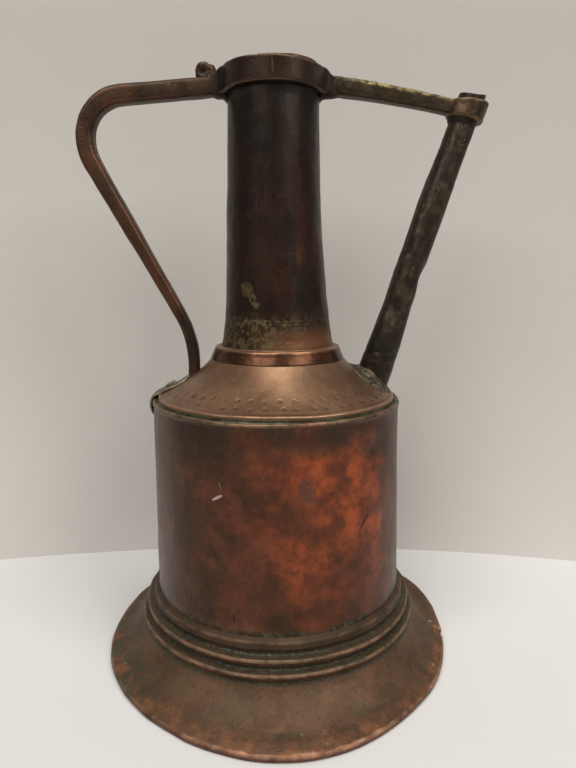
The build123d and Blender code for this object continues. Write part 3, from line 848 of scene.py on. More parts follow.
def foot_outline():
    collar = WALL_FOOT_R + SHEET + 0.1
    top = foot_high.z
    steps = [
        (WALL_FOOT_R + 0.3, top + 0.3), (collar + 1.9, top - 1.8),
        (collar + 2.6, top - 5.6), (collar + 1.3, top - 9.4), (collar + 7.9, top - 10.6),
        (collar + 6.4, top - 14.2), (collar + 4.6, top - 17.6), (collar + 10.6, top - 18.8),
        (collar + 9.9, top - 22.0), (collar + 9.0, top - 24.2),
    ]
    radii = [2.6, 3.0, 2.2, 1.1, 3.0, 2.0, 1.1, 1.6, 2.5]
    hem_start = np.array((FOOT_R - 8.2, 8.0))
    flare = sagging(steps[-1], hem_start, 2.2, 1.3)
    upper = rounded(steps + [tuple(flare[3])], radii, 0.6)
    line = np.concatenate([upper, flare[4:]])
    hem = rounded(
        [
            hem_start,
            (FOOT_R - 6.6, 7.4), (FOOT_R - 1.3, 4.6), (FOOT_R, 2.6), (FOOT_R - 0.9, 0.0),
            (FOOT_R - 4.0, 0.0), (FOOT_R - 9.2, 4.6),
        ],
        [12.0, 2.4, 1.7, 0.7, 2.0],
        0.7,
    )
    inner = by_length(line - outward(line) * SHEET, 42)[::-1]
    top_edge = edge_round(inner[-1], line[0], np.array((0.0, 1.0)))
    return np.concatenate([line, hem[1:-1], inner[1:], top_edge])


def foot_shape(angle, radius, height, place):
    flat = place * (1, 1, 0)
    reach = ease(radius, 100, FOOT_R)
    front = 7.4 * toward(angle, -84, 0.52) + 2.4 * toward(angle, 22, 0.35)
    wave = 0.9 * lumps(flat, 56, 3) + 0.45 * lumps(flat, 19, 4) + 0.2 * lumps(flat, 8, 2)
    radius = radius + reach**2 * (front - 1.0 + wave)
    lift = 7.0 * toward(angle, 27, 0.42) + 3.0 * toward(angle, 152, 0.40)
    uneven = 0.5 + 0.5 * lumps(flat, 44, 5)
    height = height + reach**2 * (lift + 0.6 * uneven)
    rim = ease(radius, FOOT_R - 10, FOOT_R - 7)
    ridge = rim * ease(height, 1.5, 4) * (0.40 * lumps(flat, 13, 1) + 0.22 * lumps(flat, 5, 6))
    on_flare = ease(radius, 105, 109)
    marks = blows(angle * 112, radius, 13, 9, 6, around=54)
    height = height + on_flare * (0.12 * (marks - 0.5) + 0.42 * lumps(place, 21, 7)) * (1 - rim)
    height = height + ridge
    beads = ease(height, 26, 30) * ease(radius, WALL_FOOT_R + 2, WALL_FOOT_R + 4)
    radius = radius + beads * (0.32 * lumps(place, 19, 8) + 0.16 * lumps(place, 5, 9))
    height = height + beads * 0.22 * lumps(place, 26, 10)
    away = np.abs(off(angle, SEAM_ANGLE)) * radius
    lap = np.where(np.sin(off(angle, SEAM_ANGLE)) > 0, ease(away, 9, 0), 0) * 0.5
    groove = 0.45 * hump(away, 0, 1.0)
    height = height + (lap - groove) * ease(radius, 94, 98) * ease(height, 0.5, 3)
    notch = hump(away, 0, 2.0) * ease(radius, FOOT_R - 6, FOOT_R - 1)
    return radius - 2.4 * notch, height


def bell_foot():
    points, faces = turned(foot_outline(), 560, foot_shape)
    build("bell_foot", points, faces, ["base_flare"], "foot_copper")


# ---- body: planished wall, its top edge turned in over the shoulder -------------
BRAZE_ANGLE = 98         # degrees; brazed seam of the wall and the neck, at the back


def wall_outline():
    lip = wall_high.z - 1.0
    line = rounded(
        [
            (WALL_TOP_R - 2.0, lip), (WALL_TOP_R + 0.1, lip + 0.3),
            (WALL_TOP_R + 0.9, lip - 1.6), (WALL_TOP_R, lip - 3.8), (WALL_TOP_R, lip - 6.0),
            (WALL_FOOT_R, wall_low.z),
        ],
        [0.9, 0.9, 1.6, 3.0],
        0.55,
    )
    upper = line[line[:, 1] > WALL_TOP_Z - 4]
    lower = by_length(line[line[:, 1] <= WALL_TOP_Z - 4], 84)
    return sheet_outline(np.concatenate([upper, lower]), SHEET, 3.0)


def wall_shape(angle, radius, height, place):
    free = ease(height, 46, 60) * ease(height, WALL_TOP_Z - 1, WALL_TOP_Z - 18)
    marks = blows(angle * 91, height, 13, 26, 11, around=44)
    swell = 0.60 * lumps(place * (1, 1, 0.7), 58, 12) + 0.30 * lumps(place, 24, 13)
    radius = radius + free * (swell + 0.16 * marks)
    dents = (
        1.1 * toward(angle, -44, 0.11) * hump(height, 168, 9)
        + 0.9 * toward(angle, -115, 0.16) * hump(height, 92, 14)
        + 0.9 * toward(angle, 140, 0.13) * hump(height, 120, 12)
        + 0.8 * toward(angle, 20, 0.12) * hump(height, 96, 13)
    )
    braze = np.abs(off(angle, BRAZE_ANGLE)) * 91
    radius = radius - free * dents + free * 0.35 * hump(braze, 0, 2.4)
    lip = ease(height, WALL_TOP_Z - 4, WALL_TOP_Z)
    height = height + lip * (0.40 * lumps(place, 24, 14) + 0.18 * lumps(place, 6, 15))
    radius = radius + lip * 0.25 * lumps(place, 30, 16)
    return radius, height


def body_wall():
    points, faces = turned(wall_outline(), 520, wall_shape)
    build("body_wall", leaning(points), faces, ["body_shell"], "body_copper")


# ---- shoulder: hollow cone with a punched border ------------------------------
PUNCH_ROWS = [(72.2, 48, 0.0), (79.2, 50, 0.5)]    # radius, number, offset


def cone_outline():
    crease = (CREASE_R, CREASE_Z)
    foot = (RING_R, RING_FOOT_Z)
    cone = sagging(foot, crease, 3.0, 0.62)
    neck_side = NECK_FOOT_R + SHEET + 0.1
    top = rounded(
        [(neck_side, cone_high.z), (neck_side, RING_FOOT_Z + 5.8), foot, tuple(cone[4])],
        [1.0, 1.0],
        1.5,
    )
    edge = rounded(
        [
            tuple(cone[-6]),
            (CREASE_R + 0.4, CREASE_Z + 0.5), (CREASE_R + 0.8, CREASE_Z - 3.4),
            (cone_high.x, cone_low.z + 0.6),
        ],
        [1.1, 0.7],
        0.5,
    )
    line = np.concatenate([top[:-1], cone[4:-6], edge])
    return sheet_outline(line, SHEET, 4.0)


def punched(angle, radius):
    """Ring punches: a pale centre left standing in a sunk ring."""
    depth = np.zeros_like(radius)
    for row, count, offset in PUNCH_ROWS:
        number = np.floor(angle * count / TURN - offset)
        key = np.stack([number % count, 0 * number + row, 0 * number], axis=-1)
        middle = (number + 0.5 + offset + 0.16 * scatter(key, 2)) * TURN / count
        out = row + 0.7 * scatter(key, 3)
        away = np.hypot((angle - middle) * row, (radius - out) * 1.1)
        sunk = 0.50 * hump(away, 1.15, 0.55) - 0.04 * hump(away, 2.3, 0.6)
        depth += sunk * (0.75 + 0.25 * scatter(key, 4))
    return depth


def cone_shape(angle, radius, height, place):
    on_cone = ease(radius, RING_R, RING_R + 6) * ease(radius, CREASE_R - 1, CREASE_R - 6)
    marks = blows(angle * 66, radius, 9, 9, 21, around=46)
    lift = 0.45 * lumps(place, 34, 22) + 0.16 * lumps(place, 11, 23) + 0.10 * marks
    height = height + on_cone * (lift - punched(angle, radius))
    edge = ease(radius, CREASE_R - 5, CREASE_R)
    height = height + edge * 0.30 * lumps(place, 21, 24)
    return radius, height


def shoulder_cone():
    points, faces = turned(cone_outline(), 700, cone_shape)
    build("shoulder_cone", leaning(points), faces, ["shoulder"], "shoulder_copper")


# ---- neck ring: polished half-round moulding ------------------------------------
def moulding():
    inner = NECK_FOOT_R + SHEET + 0.15
    outline = closed(
        [
            (inner, RING_TOP_Z - 0.6), (inner + 0.9, RING_TOP_Z + 0.2),
            (RING_R - 1.7, RING_TOP_Z - 0.1), (RING_R - 0.5, RING_TOP_Z - 3.6),
            (RING_R + 1.6, RING_FOOT_Z - 0.9), (RING_R + 1.8, RING_FOOT_Z - 1.6),
            (RING_R - 0.4, RING_FOOT_Z + 0.2), (inner, RING_FOOT_Z + 5.6),
        ],
        [0.6, 1.7, 3.0, 0.4, 0.6, 0.6, 0.6],
        0.45,
    )

    def shape(angle, radius, height, place):
        reach = ease(radius, NECK_FOOT_R + 2, NECK_FOOT_R + 5)
        marks = blows(angle * 46, height, 8, 9, 31, around=36)
        worn = 0.34 * lumps(place, 19, 32) + 0.12 * lumps(place, 6, 33)
        radius = radius + reach * (worn - 0.15 + 0.12 * marks)
        return radius, height + reach * 0.30 * lumps(place, 16, 34)

    points, faces = turned(outline, 420, shape)
    build("neck_moulding", points, faces, ["neck_ring"], "polished_copper")


# ---- neck: tall tube with long planished facets --------------------------------
ARMS_LOW_Z = (406.2, 406.4)      # undersides of the handle and the stay at the collar
SCRIBED = (RING_TOP_Z + 18.4, RING_TOP_Z + 20.6)     # lines cut round the neck


def neck_radius(height):
    """Outer radius of the neck: a trumpet foot that runs out into a slow taper."""
    heights = (neck_low.z, RING_TOP_Z, 240, 257, 280, 305, 350, 402, MOUTH_Z)
    radii = (NECK_FOOT_R, NECK_FOOT_R, 39.4, 37.6, 36.0, 34.4, 32.6, NECK_TOP_R, NECK_TOP_R)
    rough_line = np.interp(height, heights, radii)
    sides = [np.interp(height + shift, heights, radii) for shift in (-9, -4.5, 4.5, 9)]
    calm = (rough_line + sum(sides)) / 5
    keep = ease(height, RING_TOP_Z + 1, RING_TOP_Z + 9)
    return keep * calm + (1 - keep) * rough_line


def neck_outline():
    low = np.arange(neck_low.z, 262, 0.62)
    high = np.linspace(262, MOUTH_Z - 0.6, 92)
    height = np.concatenate([low, high])[::-1]
    return sheet_outline(np.stack([neck_radius(height), height], axis=1), SHEET, 4.0)


def neck_shape(angle, radius, height, place):
    free = ease(height, RING_TOP_Z + 1, RING_TOP_Z + 8) * ease(height, 406, 398)
    marks = blows(angle * 33, height + 3 * lumps(place, 20, 47), 8.3, 16, 41, around=25)
    swell = 0.46 * lumps(place * (1, 1, 0.6), 34, 42) + 0.22 * lumps(place, 11, 43)
    radius = radius + free * (swell + 0.17 * marks - 0.13)
    foot = ease(height, 258, 246) * ease(height, RING_TOP_Z, RING_TOP_Z + 2)
    radius = radius + foot * 0.12 * crumple(place, 3.2, 44)
    for line in SCRIBED:
        wobble = line + 0.5 * lumps(place * (1, 1, 0), 24, 45)
        radius = radius - 0.30 * hump(height, wobble, 0.5)
    braze = np.abs(off(angle, BRAZE_ANGLE)) * 34
    radius = radius + free * 0.30 * hump(braze, 0, 1.8)
    rim = ease(height, MOUTH_Z - 3, MOUTH_Z)
    proud = 1.3 * toward(angle, -35, 0.75)
    height = height + rim * (proud - 0.3 + 0.35 * lumps(place, 11, 46))
    return radius, height


def neck():
    points, faces = turned(neck_outline(), 300, neck_shape)
    build("neck", leaning(points), faces, ["neck_tube"], "neck_copper")


# ---- collar band with an ear on each side for the arms ----------------------------
def band_reach(angle):
    """Distance from the axis to the band's outer face: a round drawn out into two ears."""
    fillet, half = 8.0, ARM_WIDTH / 2 - 0.7
    centre_y = half + fillet
    centre_x = math.sqrt((BAND_R + fillet) ** 2 - centre_y**2)
    across, along = np.abs(np.sin(angle)), np.abs(np.cos(angle))
    slope = np.arctan2(across, along)
    towards = centre_x * along + centre_y * across
    inside = towards**2 - centre_x**2 - centre_y**2 + fillet**2
    curve = towards - np.sqrt(np.maximum(inside, 0))
    ear = np.minimum(half / np.maximum(across, 1e-6), (EAR_X + 3.5) / np.maximum(along, 1e-6))
    reach = np.where(slope < math.atan2(centre_y, centre_x), curve, BAND_R)
    return np.where(slope < math.atan2(half, centre_x), ear, reach)


def collar():
    inner = NECK_TOP_R + 0.1
    outline = closed(
        [
            (inner, BAND_LOW_Z + 6), (inner, BAND_TOP_Z - 0.6), (inner + 0.6, BAND_TOP_Z),
            (BAND_R, BAND_TOP_Z - 0.4), (BAND_R, BAND_LOW_Z), (inner, BAND_LOW_Z),
        ],
        [0.3, 0.3, 1.2, 1.2, 0.3],
        0.6,
    )

    def shape(angle, radius, height, place):
        share = (radius - inner) / (BAND_R - inner)
        radius = inner + share * (band_reach(angle) - inner)
        face = ease(share, 0.5, 1)
        marks = blows(angle * BAND_R, height, 9, 14, 51, around=24)
        worn = 0.30 * lumps(place, 14, 52) + 0.16 * marks - 0.25
        radius = radius + face * worn
        top = ease(height, 413, 418)
        side = np.cos(angle) ** 2
        dip = 1.5 * toward(angle, -35, 0.6)
        height = height + top * (1.5 * side - dip + 0.3 * lumps(place, 7, 53))
        low = ease(height, BAND_LOW_Z + 2, BAND_LOW_Z)
        height = height + low * face * (0.2 + 0.25 * lumps(place, 9, 54))
        # The ears fall away to the arms' height, above and below.
        out = ease(radius, BAND_R + 0.2, EAR_X + 0.8)
        left = np.cos(angle) < 0
        arm_top = np.where(left, strap_high.z - 0.5, stay_high.z - 1.9)
        arm_low = np.where(left, *ARMS_LOW_Z)
        middle = (BAND_LOW_Z + BAND_TOP_Z) / 2
        above = middle + (height - middle) * (arm_top - middle) / (BAND_TOP_Z - middle)
        below = middle + (height - middle) * (middle - arm_low) / (middle - BAND_LOW_Z)
        ear = np.where(height > middle, np.minimum(above, height), np.maximum(below, height))
        return radius, height + out * (ear - height)

    points, faces = turned(outline, 480, shape)
    build("collar", leaning(points), faces, ["collar_band"], "strap_bronze")


# ---- handle: one forged bar from the collar down to the shoulder --------------------
def eased_sections(sections):
    """Section as a function of the share of the path, between listed stations."""
    stations = np.array(sections)

    def section(share):
        return tuple(np.interp(share, stations[:, 0], stations[:, k]) for k in (1, 2, 3))

    return section


def handle():
    far = strap_low.x + 5.0
    line = rounded(
        [
            (-EAR_X + 3.5, strap_high.z - 6.0), (far, strap_high.z - 14.1),
            (far, strap_high.z - 49.8), (-61.5, 236.8), (-62.4, 206.0),
        ],
        [28, 38, 75],
        1.3,
        room=0.75,
    )
    section = eased_sections([
        (0.00, 12.6, 11.6, 4.2), (0.05, 13.8, 13.0, 4.4), (0.27, 13.5, 12.8, 4.2),
        (0.48, 13.0, 11.2, 3.8), (0.65, 12.5, 10.0, 3.6), (0.80, 12.2, 9.0, 3.6),
        (0.97, 11.6, 8.0, 3.6), (1.00, 12.6, 8.4, 3.2),
    ])
    points, faces = bar(by_length(line, 300), section, 56)

    def worked(at):
        flats = blows(at[:, 2] + 0.6 * at[:, 0], at[:, 1], 13, 8, 61)
        return 0.34 * lumps(at, 24, 62) + 0.12 * lumps(at, 6, 63) + 0.14 * (flats - 0.6)

    points = pushed(points, faces, worked)
    build("handle", points, faces, ["handle_strap"], "strap_bronze")


# ---- lug on the handle that held the lid's hinge ----------------------------------------
def lug():
    """Worn knob left of a hinge: a lump with a dark hollow on each side."""
    centre = np.array(((lug_low.x + lug_high.x) / 2 + 0.7, 0, lug_high.z - 6.8))
    points, faces = blob(centre, (7.2, lug_high.y + 0.3, 6.6), 71, around=72, rows=44)
    away = np.hypot(points[:, 0] - centre[0] + 1.2, points[:, 2] - centre[2] + 0.4)
    sunk = 1.7 * hump(away, 0, 2.4)
    points[:, 1] -= np.sign(points[:, 1]) * np.minimum(sunk, 0.8 * np.abs(points[:, 1]))
    points[:, 2] -= 1.2 * hump(points[:, 0], centre[0] + 2.8, 1.6) * ease(
        points[:, 2], centre[2] + 2, centre[2] + 5
    )
    build("lug", points, faces, ["lid_lug"], "strap_bronze")


# ---- leaf at the handle's foot, hugging the cone, the seam and the wall --------------
def on_cone(radius, gap=0.0):
    """Point of the shoulder's outer profile at a radius, lifted off by `gap`."""
    start, end = np.array((RING_R, RING_FOOT_Z)), np.array((CREASE_R, CREASE_Z))
    share = (radius - start[0]) / (end[0] - start[0])
    side = unit(np.array((end[1] - start[1], start[0] - end[0])))
    base = start + (end - start) * share + side * 3.0 * 4 * share * (1 - share)
    return base - side * gap


def leaf():
    thick = 2.4
    wall = WALL_TOP_R + 3.4
    line = rounded(
        [
            tuple(on_cone(65.5, 0.1 + thick / 2)),
            (73.0, 203.4), (83.6, 199.0), (wall - 1.4, 194.8), (wall + 0.2, 189.0),
            (wall - 0.4, leaf_low.z - 5.0),
        ],
        [40, 30, 5.0, 12.0],
        0.6,
    )
    path = by_length(line, 90) * (-1, 1)
    whole = np.linalg.norm(np.diff(path, axis=0), axis=1).sum()

    def section(share):
        to_end = min(share, 1 - share) * whole
        width = 24 * math.sqrt(max(0.10, 1 - (1 - min(to_end / 11.0, 1)) ** 2))
        return width, thick * (0.7 + 0.3 * min(to_end / 3, 1)), 3.4

    points, faces = bar(path, section, 64)
    radius = -points[:, 0]
    turn = points[:, 1] / np.maximum(radius, 1)
    points = np.stack([-radius * np.cos(turn), radius * np.sin(turn), points[:, 2]], axis=1)
    points = pushed(points, faces, lambda at: 0.26 * crumple(at, 8.0, 81))
    build("leaf", points, faces, ["handle_leaf"], "leaf_tin")


def rivet_points(out, lift, head):
    """A hammered rivet: domed head outside, shank, clenched tail inside."""
    outline = rounded(
        [
            (0.05, lift + 1.5), (head * 0.72, lift + 1.1), (head, lift), (2.2, lift - 0.1),
            (2.2, -1.3), (head - 1.2, -1.4), (head - 1.6, -2.4), (0.05, -2.4),
        ],
        [2.0, 0.6, 0.2, 0.2, 0.3, 0.4],
        0.4,
    )
    points, faces = turned(outline, 48)
    points = pushed(points, faces, lambda at: 0.12 * crumple(at, 3.0, 83))
    return points, faces


def rivets():
    pieces = []
    slope = on_cone(79.0) - on_cone(75.0)
    lean = math.atan2(-slope[1], slope[0])
    for place, tilt, lift, head in (
        (on_cone(80.0), lean, 3.0, 5.2),
        (np.array((WALL_TOP_R + 0.1, leaf_low.z + 3.4)), math.pi / 2, 4.5, 3.3),
    ):
        points, faces = rivet_points(place, lift, head)
        x, y, z = points.T
        out_x = x * math.cos(tilt) + z * math.sin(tilt)
        out_z = -x * math.sin(tilt) + z * math.cos(tilt)
        pieces.append((np.stack([-(place[0] + out_x), y, place[1] + out_z], axis=1), faces))
    points, faces = joined(pieces)
    build("rivets", points, faces, ["leaf_rivets"], "leaf_tin")


def joined(pieces):
    """Several closed meshes as one, side by side, each turned to face out."""
    all_points, all_faces, start = [], [], 0
    for points, faces in pieces:
        if volume(points, faces) < 0:
            faces = [f[::-1] for f in faces]
        all_points.append(points)
        all_faces += [[n + start for n in f] for f in faces]
        start += len(points)
    return np.concatenate(all_points), all_faces


# ---- blow tube, on its own leaning axis -------------------------------------------------
spout_up = unit(np.array((SPOUT_LEAN, 0, 1.0)))
spout_side = np.array((spout_up[2], 0, -spout_up[0]))
eye_centre = np.array(((eye_low.x + eye_high.x) / 2, 0, (eye_low.z + eye_high.z) / 2))
spout_rise = spout_high.z - spout_low.z - (SPOUT_FOOT_R + SPOUT_TIP_R) * spout_up[0]
spout_length = spout_rise / spout_up[2]
spout_foot = eye_centre - spout_up * (
    (eye_centre[2] - spout_low.z - SPOUT_FOOT_R * spout_up[0]) / spout_up[2]
)
eye_along = np.linalg.norm(eye_centre - spout_foot)


def leaned(points):
    """Points given along and across the blow tube's axis, put in place."""
    x, y, z = points.T
    return spout_foot + np.outer(x, spout_side) + np.outer(y, (0, 1, 0)) + np.outer(z, spout_up)


def tube_radius(along):
    """Outer radius of the blow tube at a distance from its lower end."""
    marks = (0, 22, 36, 58, 70, 84, 110, 140, 175, eye_along - 8, spout_length)
    radii = (12.4, 12.2, 11.7, 10.7, 9.9, 10.0, 10.3, 10.2, 9.5, 9.2, SPOUT_TIP_R)
    return np.interp(along, marks, radii)


def blow_tube():
    height = np.linspace(spout_length - 0.6, 0.6, 210)
    outline = sheet_outline(np.stack([tube_radius(height), height], axis=1), 1.0, 3.0)

    def shape(angle, radius, height, place):
        free = ease(height, 10, 30) * ease(height, eye_along - 8, eye_along - 26)
        swell = 0.38 * lumps(place * (1, 1, 0.5), 17, 91) + 0.14 * lumps(place, 5, 92)
        marks = blows(angle * 10, height, 5.2, 13, 93, around=12)
        dents = (
            1.3 * toward(angle, -98, 0.5) * hump(height, 66, 6)
            + 1.0 * toward(angle, -150, 0.6) * hump(height, 110, 7)
            + 0.9 * toward(angle, -60, 0.5) * hump(height, 146, 6)
            + toward(angle, 0, 0.7) * (1.5 * hump(height, 92, 7) - 0.3 * hump(height, 76, 6))
        )
        radius = radius + free * (swell + 0.16 * marks - dents)
        folds = ease(height, 40, 30) * ease(height, 12, 20)
        radius = radius + folds * 0.28 * lumps(place * (0.4, 0.4, 1), 2.6, 96)
        rim = ease(height, spout_length - 7, spout_length)
        saddle = 0.9 * np.cos(2 * angle) + 0.23 * radius * np.cos(angle) + 0.5 * lumps(place, 6, 94)
        radius = radius + rim * 0.12 * lumps(place, 4, 95)
        return radius, height + rim * (saddle - 1.0)

    points, faces = turned(outline, 96, shape)
    points[:, 0] += 1.1 * ease(points[:, 2], 100, 40) + 0.7 * ease(points[:, 2], 150, 190) - 0.4
    build("blow_tube", leaned(points), faces, ["spout_tube"], "tube_dark")


def tube_solder():
    """Lumpy fillet round the tube's foot, spread over the cone."""
    around, rows = 150, 18
    joint = on_cone(71.0)
    angle = np.arange(around) * TURN / around
    ring = np.stack([np.cos(angle), np.sin(angle)], axis=1)
    spread = 19.4 + 1.9 * lumps(np.c_[ring * 14, 0 * angle], 9, 101)
    spread += 0.7 * lumps(np.c_[ring * 14, 0 * angle], 3, 102)
    climb = 5.6 + 2.4 * lumps(np.c_[ring * 14, 0 * angle], 8, 103)
    climb += 2.5 * np.cos(angle)
    slope = on_cone(72.0) - on_cone(70.0)
    down = unit(np.array((slope[0], 0, slope[1])))
    skirt = np.array((joint[0], 0, joint[1])) + np.outer(ring[:, 0] * spread, down)
    skirt[:, 1] += ring[:, 1] * np.minimum(spread, 17.3)
    reach = np.hypot(skirt[:, 0], skirt[:, 1])
    surface = np.stack([on_cone(min(r, CREASE_R - 0.6)) for r in reach])
    pull = surface[:, 0] / reach
    skirt[:, 0] *= pull
    skirt[:, 1] *= pull
    skirt[:, 2] = surface[:, 1] - 0.25
    centre_along = (joint[1] - spout_foot[2]) / spout_up[2]
    top_along = centre_along + climb + 11.5 * np.cos(angle) * -0.55
    tube_r = tube_radius(top_along) - 0.4
    top = leaned(np.stack([tube_r * ring[:, 0], tube_r * ring[:, 1], top_along], axis=1))
    rows_of_points = []
    for t in np.linspace(0, 1, rows):
        fill = t**1.45
        row = skirt * (1 - t) + top * t
        row[:, 2] -= (t - fill) * 7.0
        rows_of_points.append(row)
    inner_r = tube_r - 1.2
    for along in (top_along - 3, centre_along + 0 * top_along - 2):
        inner = np.stack([inner_r * ring[:, 0], inner_r * ring[:, 1], along], axis=1)
        rows_of_points.append(leaned(inner))
    under = rows_of_points[-1] * 0.4 + skirt * 0.6
    under[:, 2] = np.minimum(under[:, 2], skirt[:, 2] - 0.6)
    rows_of_points.append(under)
    points = np.concatenate(rows_of_points)
    faces = grid_faces(len(rows_of_points), around)
    visible = np.arange(len(points)) < rows * around
    normal = skin_normals(points, faces)
    bumps = 0.75 * lumps(points, 6.5, 104) + 0.45 * lumps(points, 3.0, 105)
    points = points + normal * (bumps * visible)[:, None]
    build("tube_solder", points, faces, ["spout_solder"], "solder")


# ---- stay: forged bar from the collar's ear to the eye round the tube -----------------
def eye():
    low, high = eye_along - EYE_BELOW, eye_along + EYE_ABOVE
    hole = SPOUT_TIP_R + 0.1
    corners = [(hole, low), (EYE_R, low), (EYE_R, high), (hole, high)]
    outline = closed(corners, [5.2, 4.6, 0.5], 0.5)

    def shape(angle, radius, height, place):
        out = ease(radius, hole + 0.4, EYE_R)
        worn = 0.45 * lumps(place, 9, 111) + 0.22 * lumps(place, 4, 112) + 0.3
        upper = ease(height, low + 4, high)
        right = np.cos(angle)
        level = radius * (0.18 * upper * right + 0.16 * (1 - upper) * np.maximum(right, 0))
        height = height + level + out * 0.5 * lumps(place * (1, 1, 0), 10, 113)
        return radius + out * worn * (1 + 0.3 * np.cos(angle)), height

    points, faces = turned(outline, 150, shape)
    build("eye", leaned(points), faces, ["stay_eye"], "stay_brass")


def stay():
    share = np.linspace(0, 1, 170)[:, None]
    start, end = np.array((EAR_X - 5.0, 410.6)), np.array((stay_high.x + 2.5, 395.9))
    path = start + (end - start) * share + np.array((0.0, 1.3)) * 4 * share * (1 - share)
    section = eased_sections([
        (0.00, 12.4, 11.4, 4.4), (0.12, 13.6, 12.2, 4.4), (0.30, 12.6, 11.4, 4.4),
        (0.60, 12.0, 11.0, 4.2), (0.86, 12.0, 10.4, 3.8), (1.00, 14.0, 10.0, 3.2),
    ])
    points, faces = bar(path, section, 60)
    middle = np.interp(points[:, 0], path[:, 0], path[:, 1])
    up = ease(points[:, 2] - middle, 2.0, 4.5)

    def worked(at):
        ragged = up * (0.40 * lumps(at, 4.2, 121) + 0.32 * lumps(at, 1.9, 122))
        return 0.22 * lumps(at, 19, 123) + 0.10 * lumps(at, 5, 124) + ragged

    points = pushed(points, faces, worked)
    build("stay", points, faces, ["stay_arm"], "stay_brass")


# ---- dark solder under the ears and under the eye ----------------------------------------
def blob(centre, half, seed, around=40, rows=26):
    """Closed lump of metal that fills a box of half sizes, with an uneven skin."""
    tilt = np.linspace(-math.pi / 2, math.pi / 2, rows + 2)[1:-1]
    angle = np.arange(around) * TURN / around
    spin, lean = np.meshgrid(angle, tilt)
    spin, lean = spin.ravel(), lean.ravel()
    power = 0.75
    flat = np.cos(lean) ** power
    shape = np.stack([
        flat * np.sign(np.cos(spin)) * np.abs(np.cos(spin)) ** power,
        flat * np.sign(np.sin(spin)) * np.abs(np.sin(spin)) ** power,
        np.sign(np.sin(lean)) * np.abs(np.sin(lean)) ** power,
    ], axis=1)
    shape = np.concatenate([shape, [[0, 0, -1], [0, 0, 1]]])
    faces = grid_faces(rows, around, ring=False)
    points = shape * half + centre
    return pushed(points, faces, lambda at: 0.55 * crumple(at, 4.5, seed)), faces


def ear_solder():
    """Smooth dark fillets from the neck out under each arm."""
    pieces = []
    for side, drop in ((-1, 0.0), (1, 1.0)):
        neck_side = NECK_TOP_R - 0.8 + side * NECK_LEAN
        line = rounded(
            [(neck_side, 399.2 + drop), (neck_side + 2.6, 404.4 + 0.3 * drop), (48.5, 406.4)],
            [9],
            0.5,
        )
        section = eased_sections([
            (0.00, 7.0, 2.6, 2.6), (0.25, 9.0, 4.2, 2.8), (0.55, 11.0, 5.0, 3.4),
            (1.00, 10.6, 2.6, 3.4),
        ])
        points, faces = bar(by_length(line, 60) * (side, 1), section, 48)
        points = pushed(points, faces, lambda at: 0.30 * crumple(at, 6.0, 131))
        pieces.append((points, faces))
    points, faces = joined(pieces)
    build("ear_solder", points, faces, ["collar_solder"], "dark_solder")


def eye_web():
    """Half collar of solder under the eye, on the stay's side of the tube."""
    under = eye_along - EYE_BELOW
    hole = SPOUT_TIP_R - 0.3
    outline = closed(
        [
            (hole, under - 4.6), (hole + 1.5, under - 2.8), (EYE_R - 1.6, under + 0.5),
            (hole, under + 0.7),
        ],
        [1.2, 0.5, 0.3],
        0.5,
    )

    def shape(angle, radius, height, place):
        keep = ease(-np.cos(angle), -0.45, 0.5)
        sunk = hole + (radius - hole) * (0.25 + 0.75 * keep)
        drip = ease(height, under, under - 4) * (1.2 * lumps(place, 4, 141) + 0.8)
        return sunk + 0.25 * lumps(place, 3, 142), height + drip * (1 - 0.5 * keep)

    points, faces = turned(outline, 110, shape)
    build("eye_web", leaned(points), faces, ["eye_solder"], "dark_solder")


# ---- the two pieces that keep their CAD mesh ------------------------------------------------
def carried_over():
    for node, look in (("floor_plate", "inner_copper"), ("floor_solder", "solder")):
        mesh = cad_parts[node].data
        mesh.materials.clear()
        mesh.materials.append(LOOKS[look])


# ---- stage: pale floor, soft backdrop, lights, camera; all in metres ------------------------
WALL_Y = 0.150           # the backdrop's nearest line, just behind the foot
WALL_BEND = 1.35         # radius of its curve
CAMERA_AT = (0.0078, -0.440, 0.2803)
CAMERA_TILT = 79.89      # degrees up from looking straight down
CAMERA_LENS = 27.86      # millimetres, on a sensor 36 mm wide
ROOM_LIGHT = (0.95, 0.92, 0.87, 1)
ROOM_STRENGTH = 0.13


def pale(name, low, high, top, seed):
    """Matt card whose colour runs from `low` at the floor to `high` at height `top`."""
    paint = Paint(name)
    soft = paint.noise(160, 3, (1, 1, 1), seed)
    colour = paint.mix(paint.math("DIVIDE", paint.z, top), low, high)
    shade = paint.mix(soft, colour, (0.9, 0.9, 0.9), "MULTIPLY")
    paint.colour = paint.mix(0.25, colour, shade)
    fibre = paint.noise(1.5, 4, (1, 1, 1), seed + 2)
    rough = paint.range(soft, 0.70, 0.80)
    return paint.done(rough, paint.bump(fibre, 0.02), 0.0)


def stage_sheet(name, points, rows, columns, look):
    mesh = bpy.data.meshes.new(name)
    faces = [
        [i * columns + j, i * columns + j + 1, (i + 1) * columns + j + 1, (i + 1) * columns + j]
        for i in range(rows - 1)
        for j in range(columns - 1)
    ]
    mesh.from_pydata(points, [], faces)
    mesh.shade_smooth()
    mesh.materials.append(look)
    sheet = linked(name, mesh)


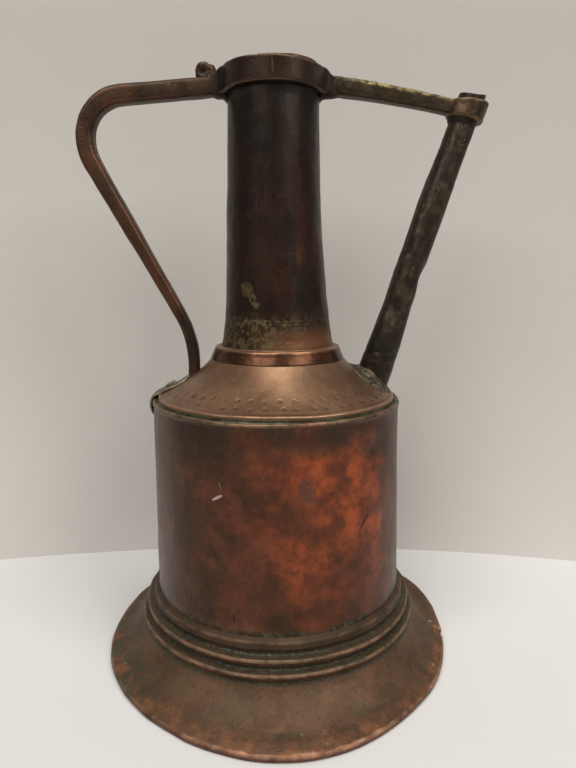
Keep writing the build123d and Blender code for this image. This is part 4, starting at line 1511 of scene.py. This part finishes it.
def stage():
    span = np.linspace(-1.6, 1.6, 9)
    floor = [(x, y, 0) for y in span for x in span]
    white = (0.66, 0.66, 0.67)
    stage_sheet("floor", floor, 9, 9, pale("floor_card", white, white, 1.0, 1))
    # The wall stands just behind the foot and curves gently forward at its ends.
    sweep = np.linspace(-0.42, 0.42, 41)
    wall = [
        (WALL_BEND * math.sin(a), WALL_Y - WALL_BEND * (1 - math.cos(a)), z)
        for z in (0.0, 0.4, 0.8, 1.2)
        for a in sweep
    ]
    # Painted shade: the backdrop's colour darkens towards its top.
    look = pale("wall_card", (0.645, 0.622, 0.600), (0.425, 0.405, 0.385), 0.5, 4)
    tree = look.node_tree
    shader = tree.nodes["Principled BSDF"]
    clear = tree.nodes.new("ShaderNodeBsdfTransparent")
    behind = tree.nodes.new("ShaderNodeNewGeometry")
    either = tree.nodes.new("ShaderNodeMixShader")
    tree.links.new(behind.outputs["Backfacing"], either.inputs[0])
    tree.links.new(shader.outputs[0], either.inputs[1])
    tree.links.new(clear.outputs[0], either.inputs[2])
    tree.links.new(either.outputs[0], tree.nodes["Material Output"].inputs["Surface"])
    stage_sheet("wall", wall, 4, 41, look)


def lamp(name, place, aim, size, power, colour):
    data = bpy.data.lights.new(name, "AREA")
    data.shape = "RECTANGLE"
    data.size, data.size_y = size
    data.energy = power
    data.color = colour
    made = linked(name, data)
    made.location = place
    direction = np.array(aim, float) - place
    flat = math.hypot(direction[0], direction[1])
    turn = math.atan2(direction[0], direction[1])
    made.rotation_euler = (math.pi / 2 + math.atan2(direction[2], flat), 0, -turn)


def lights():
    lamp("key", (-1.05, -1.75, 2.05), (0, 0, 0.2), (1.6, 1.1), 38.0, (1.0, 0.96, 0.89))
    lamp("fill", (1.55, -1.45, 1.75), (0, 0, 0.2), (1.3, 1.1), 32.0, (1.0, 0.95, 0.87))
    lamp("top", (0.1, -0.45, 1.95), (0, 0.0, 0), (1.1, 0.8), 16.0, (1.0, 0.97, 0.91))
    world = bpy.data.worlds.new("room")
    bpy.context.scene.world = world
    world.use_nodes = True
    sky = world.node_tree.nodes["Background"]
    sky.inputs[0].default_value = ROOM_LIGHT
    sky.inputs[1].default_value = ROOM_STRENGTH
    bpy.context.scene.view_settings.view_transform = "Standard"


def camera():
    data = bpy.data.cameras.new("camera")
    data.lens = CAMERA_LENS
    data.sensor_width = 36
    data.clip_start = 0.01
    made = linked("camera", data)
    made.location = CAMERA_AT
    made.rotation_euler = (math.radians(CAMERA_TILT), 0, 0)
    bpy.context.scene.camera = made


camera()
stage()
lights()
bell_foot()
body_wall()
shoulder_cone()
moulding()
neck()
collar()
handle()
lug()
leaf()
rivets()
blow_tube()
tube_solder()
eye()
stay()
ear_solder()
eye_web()
carried_over()
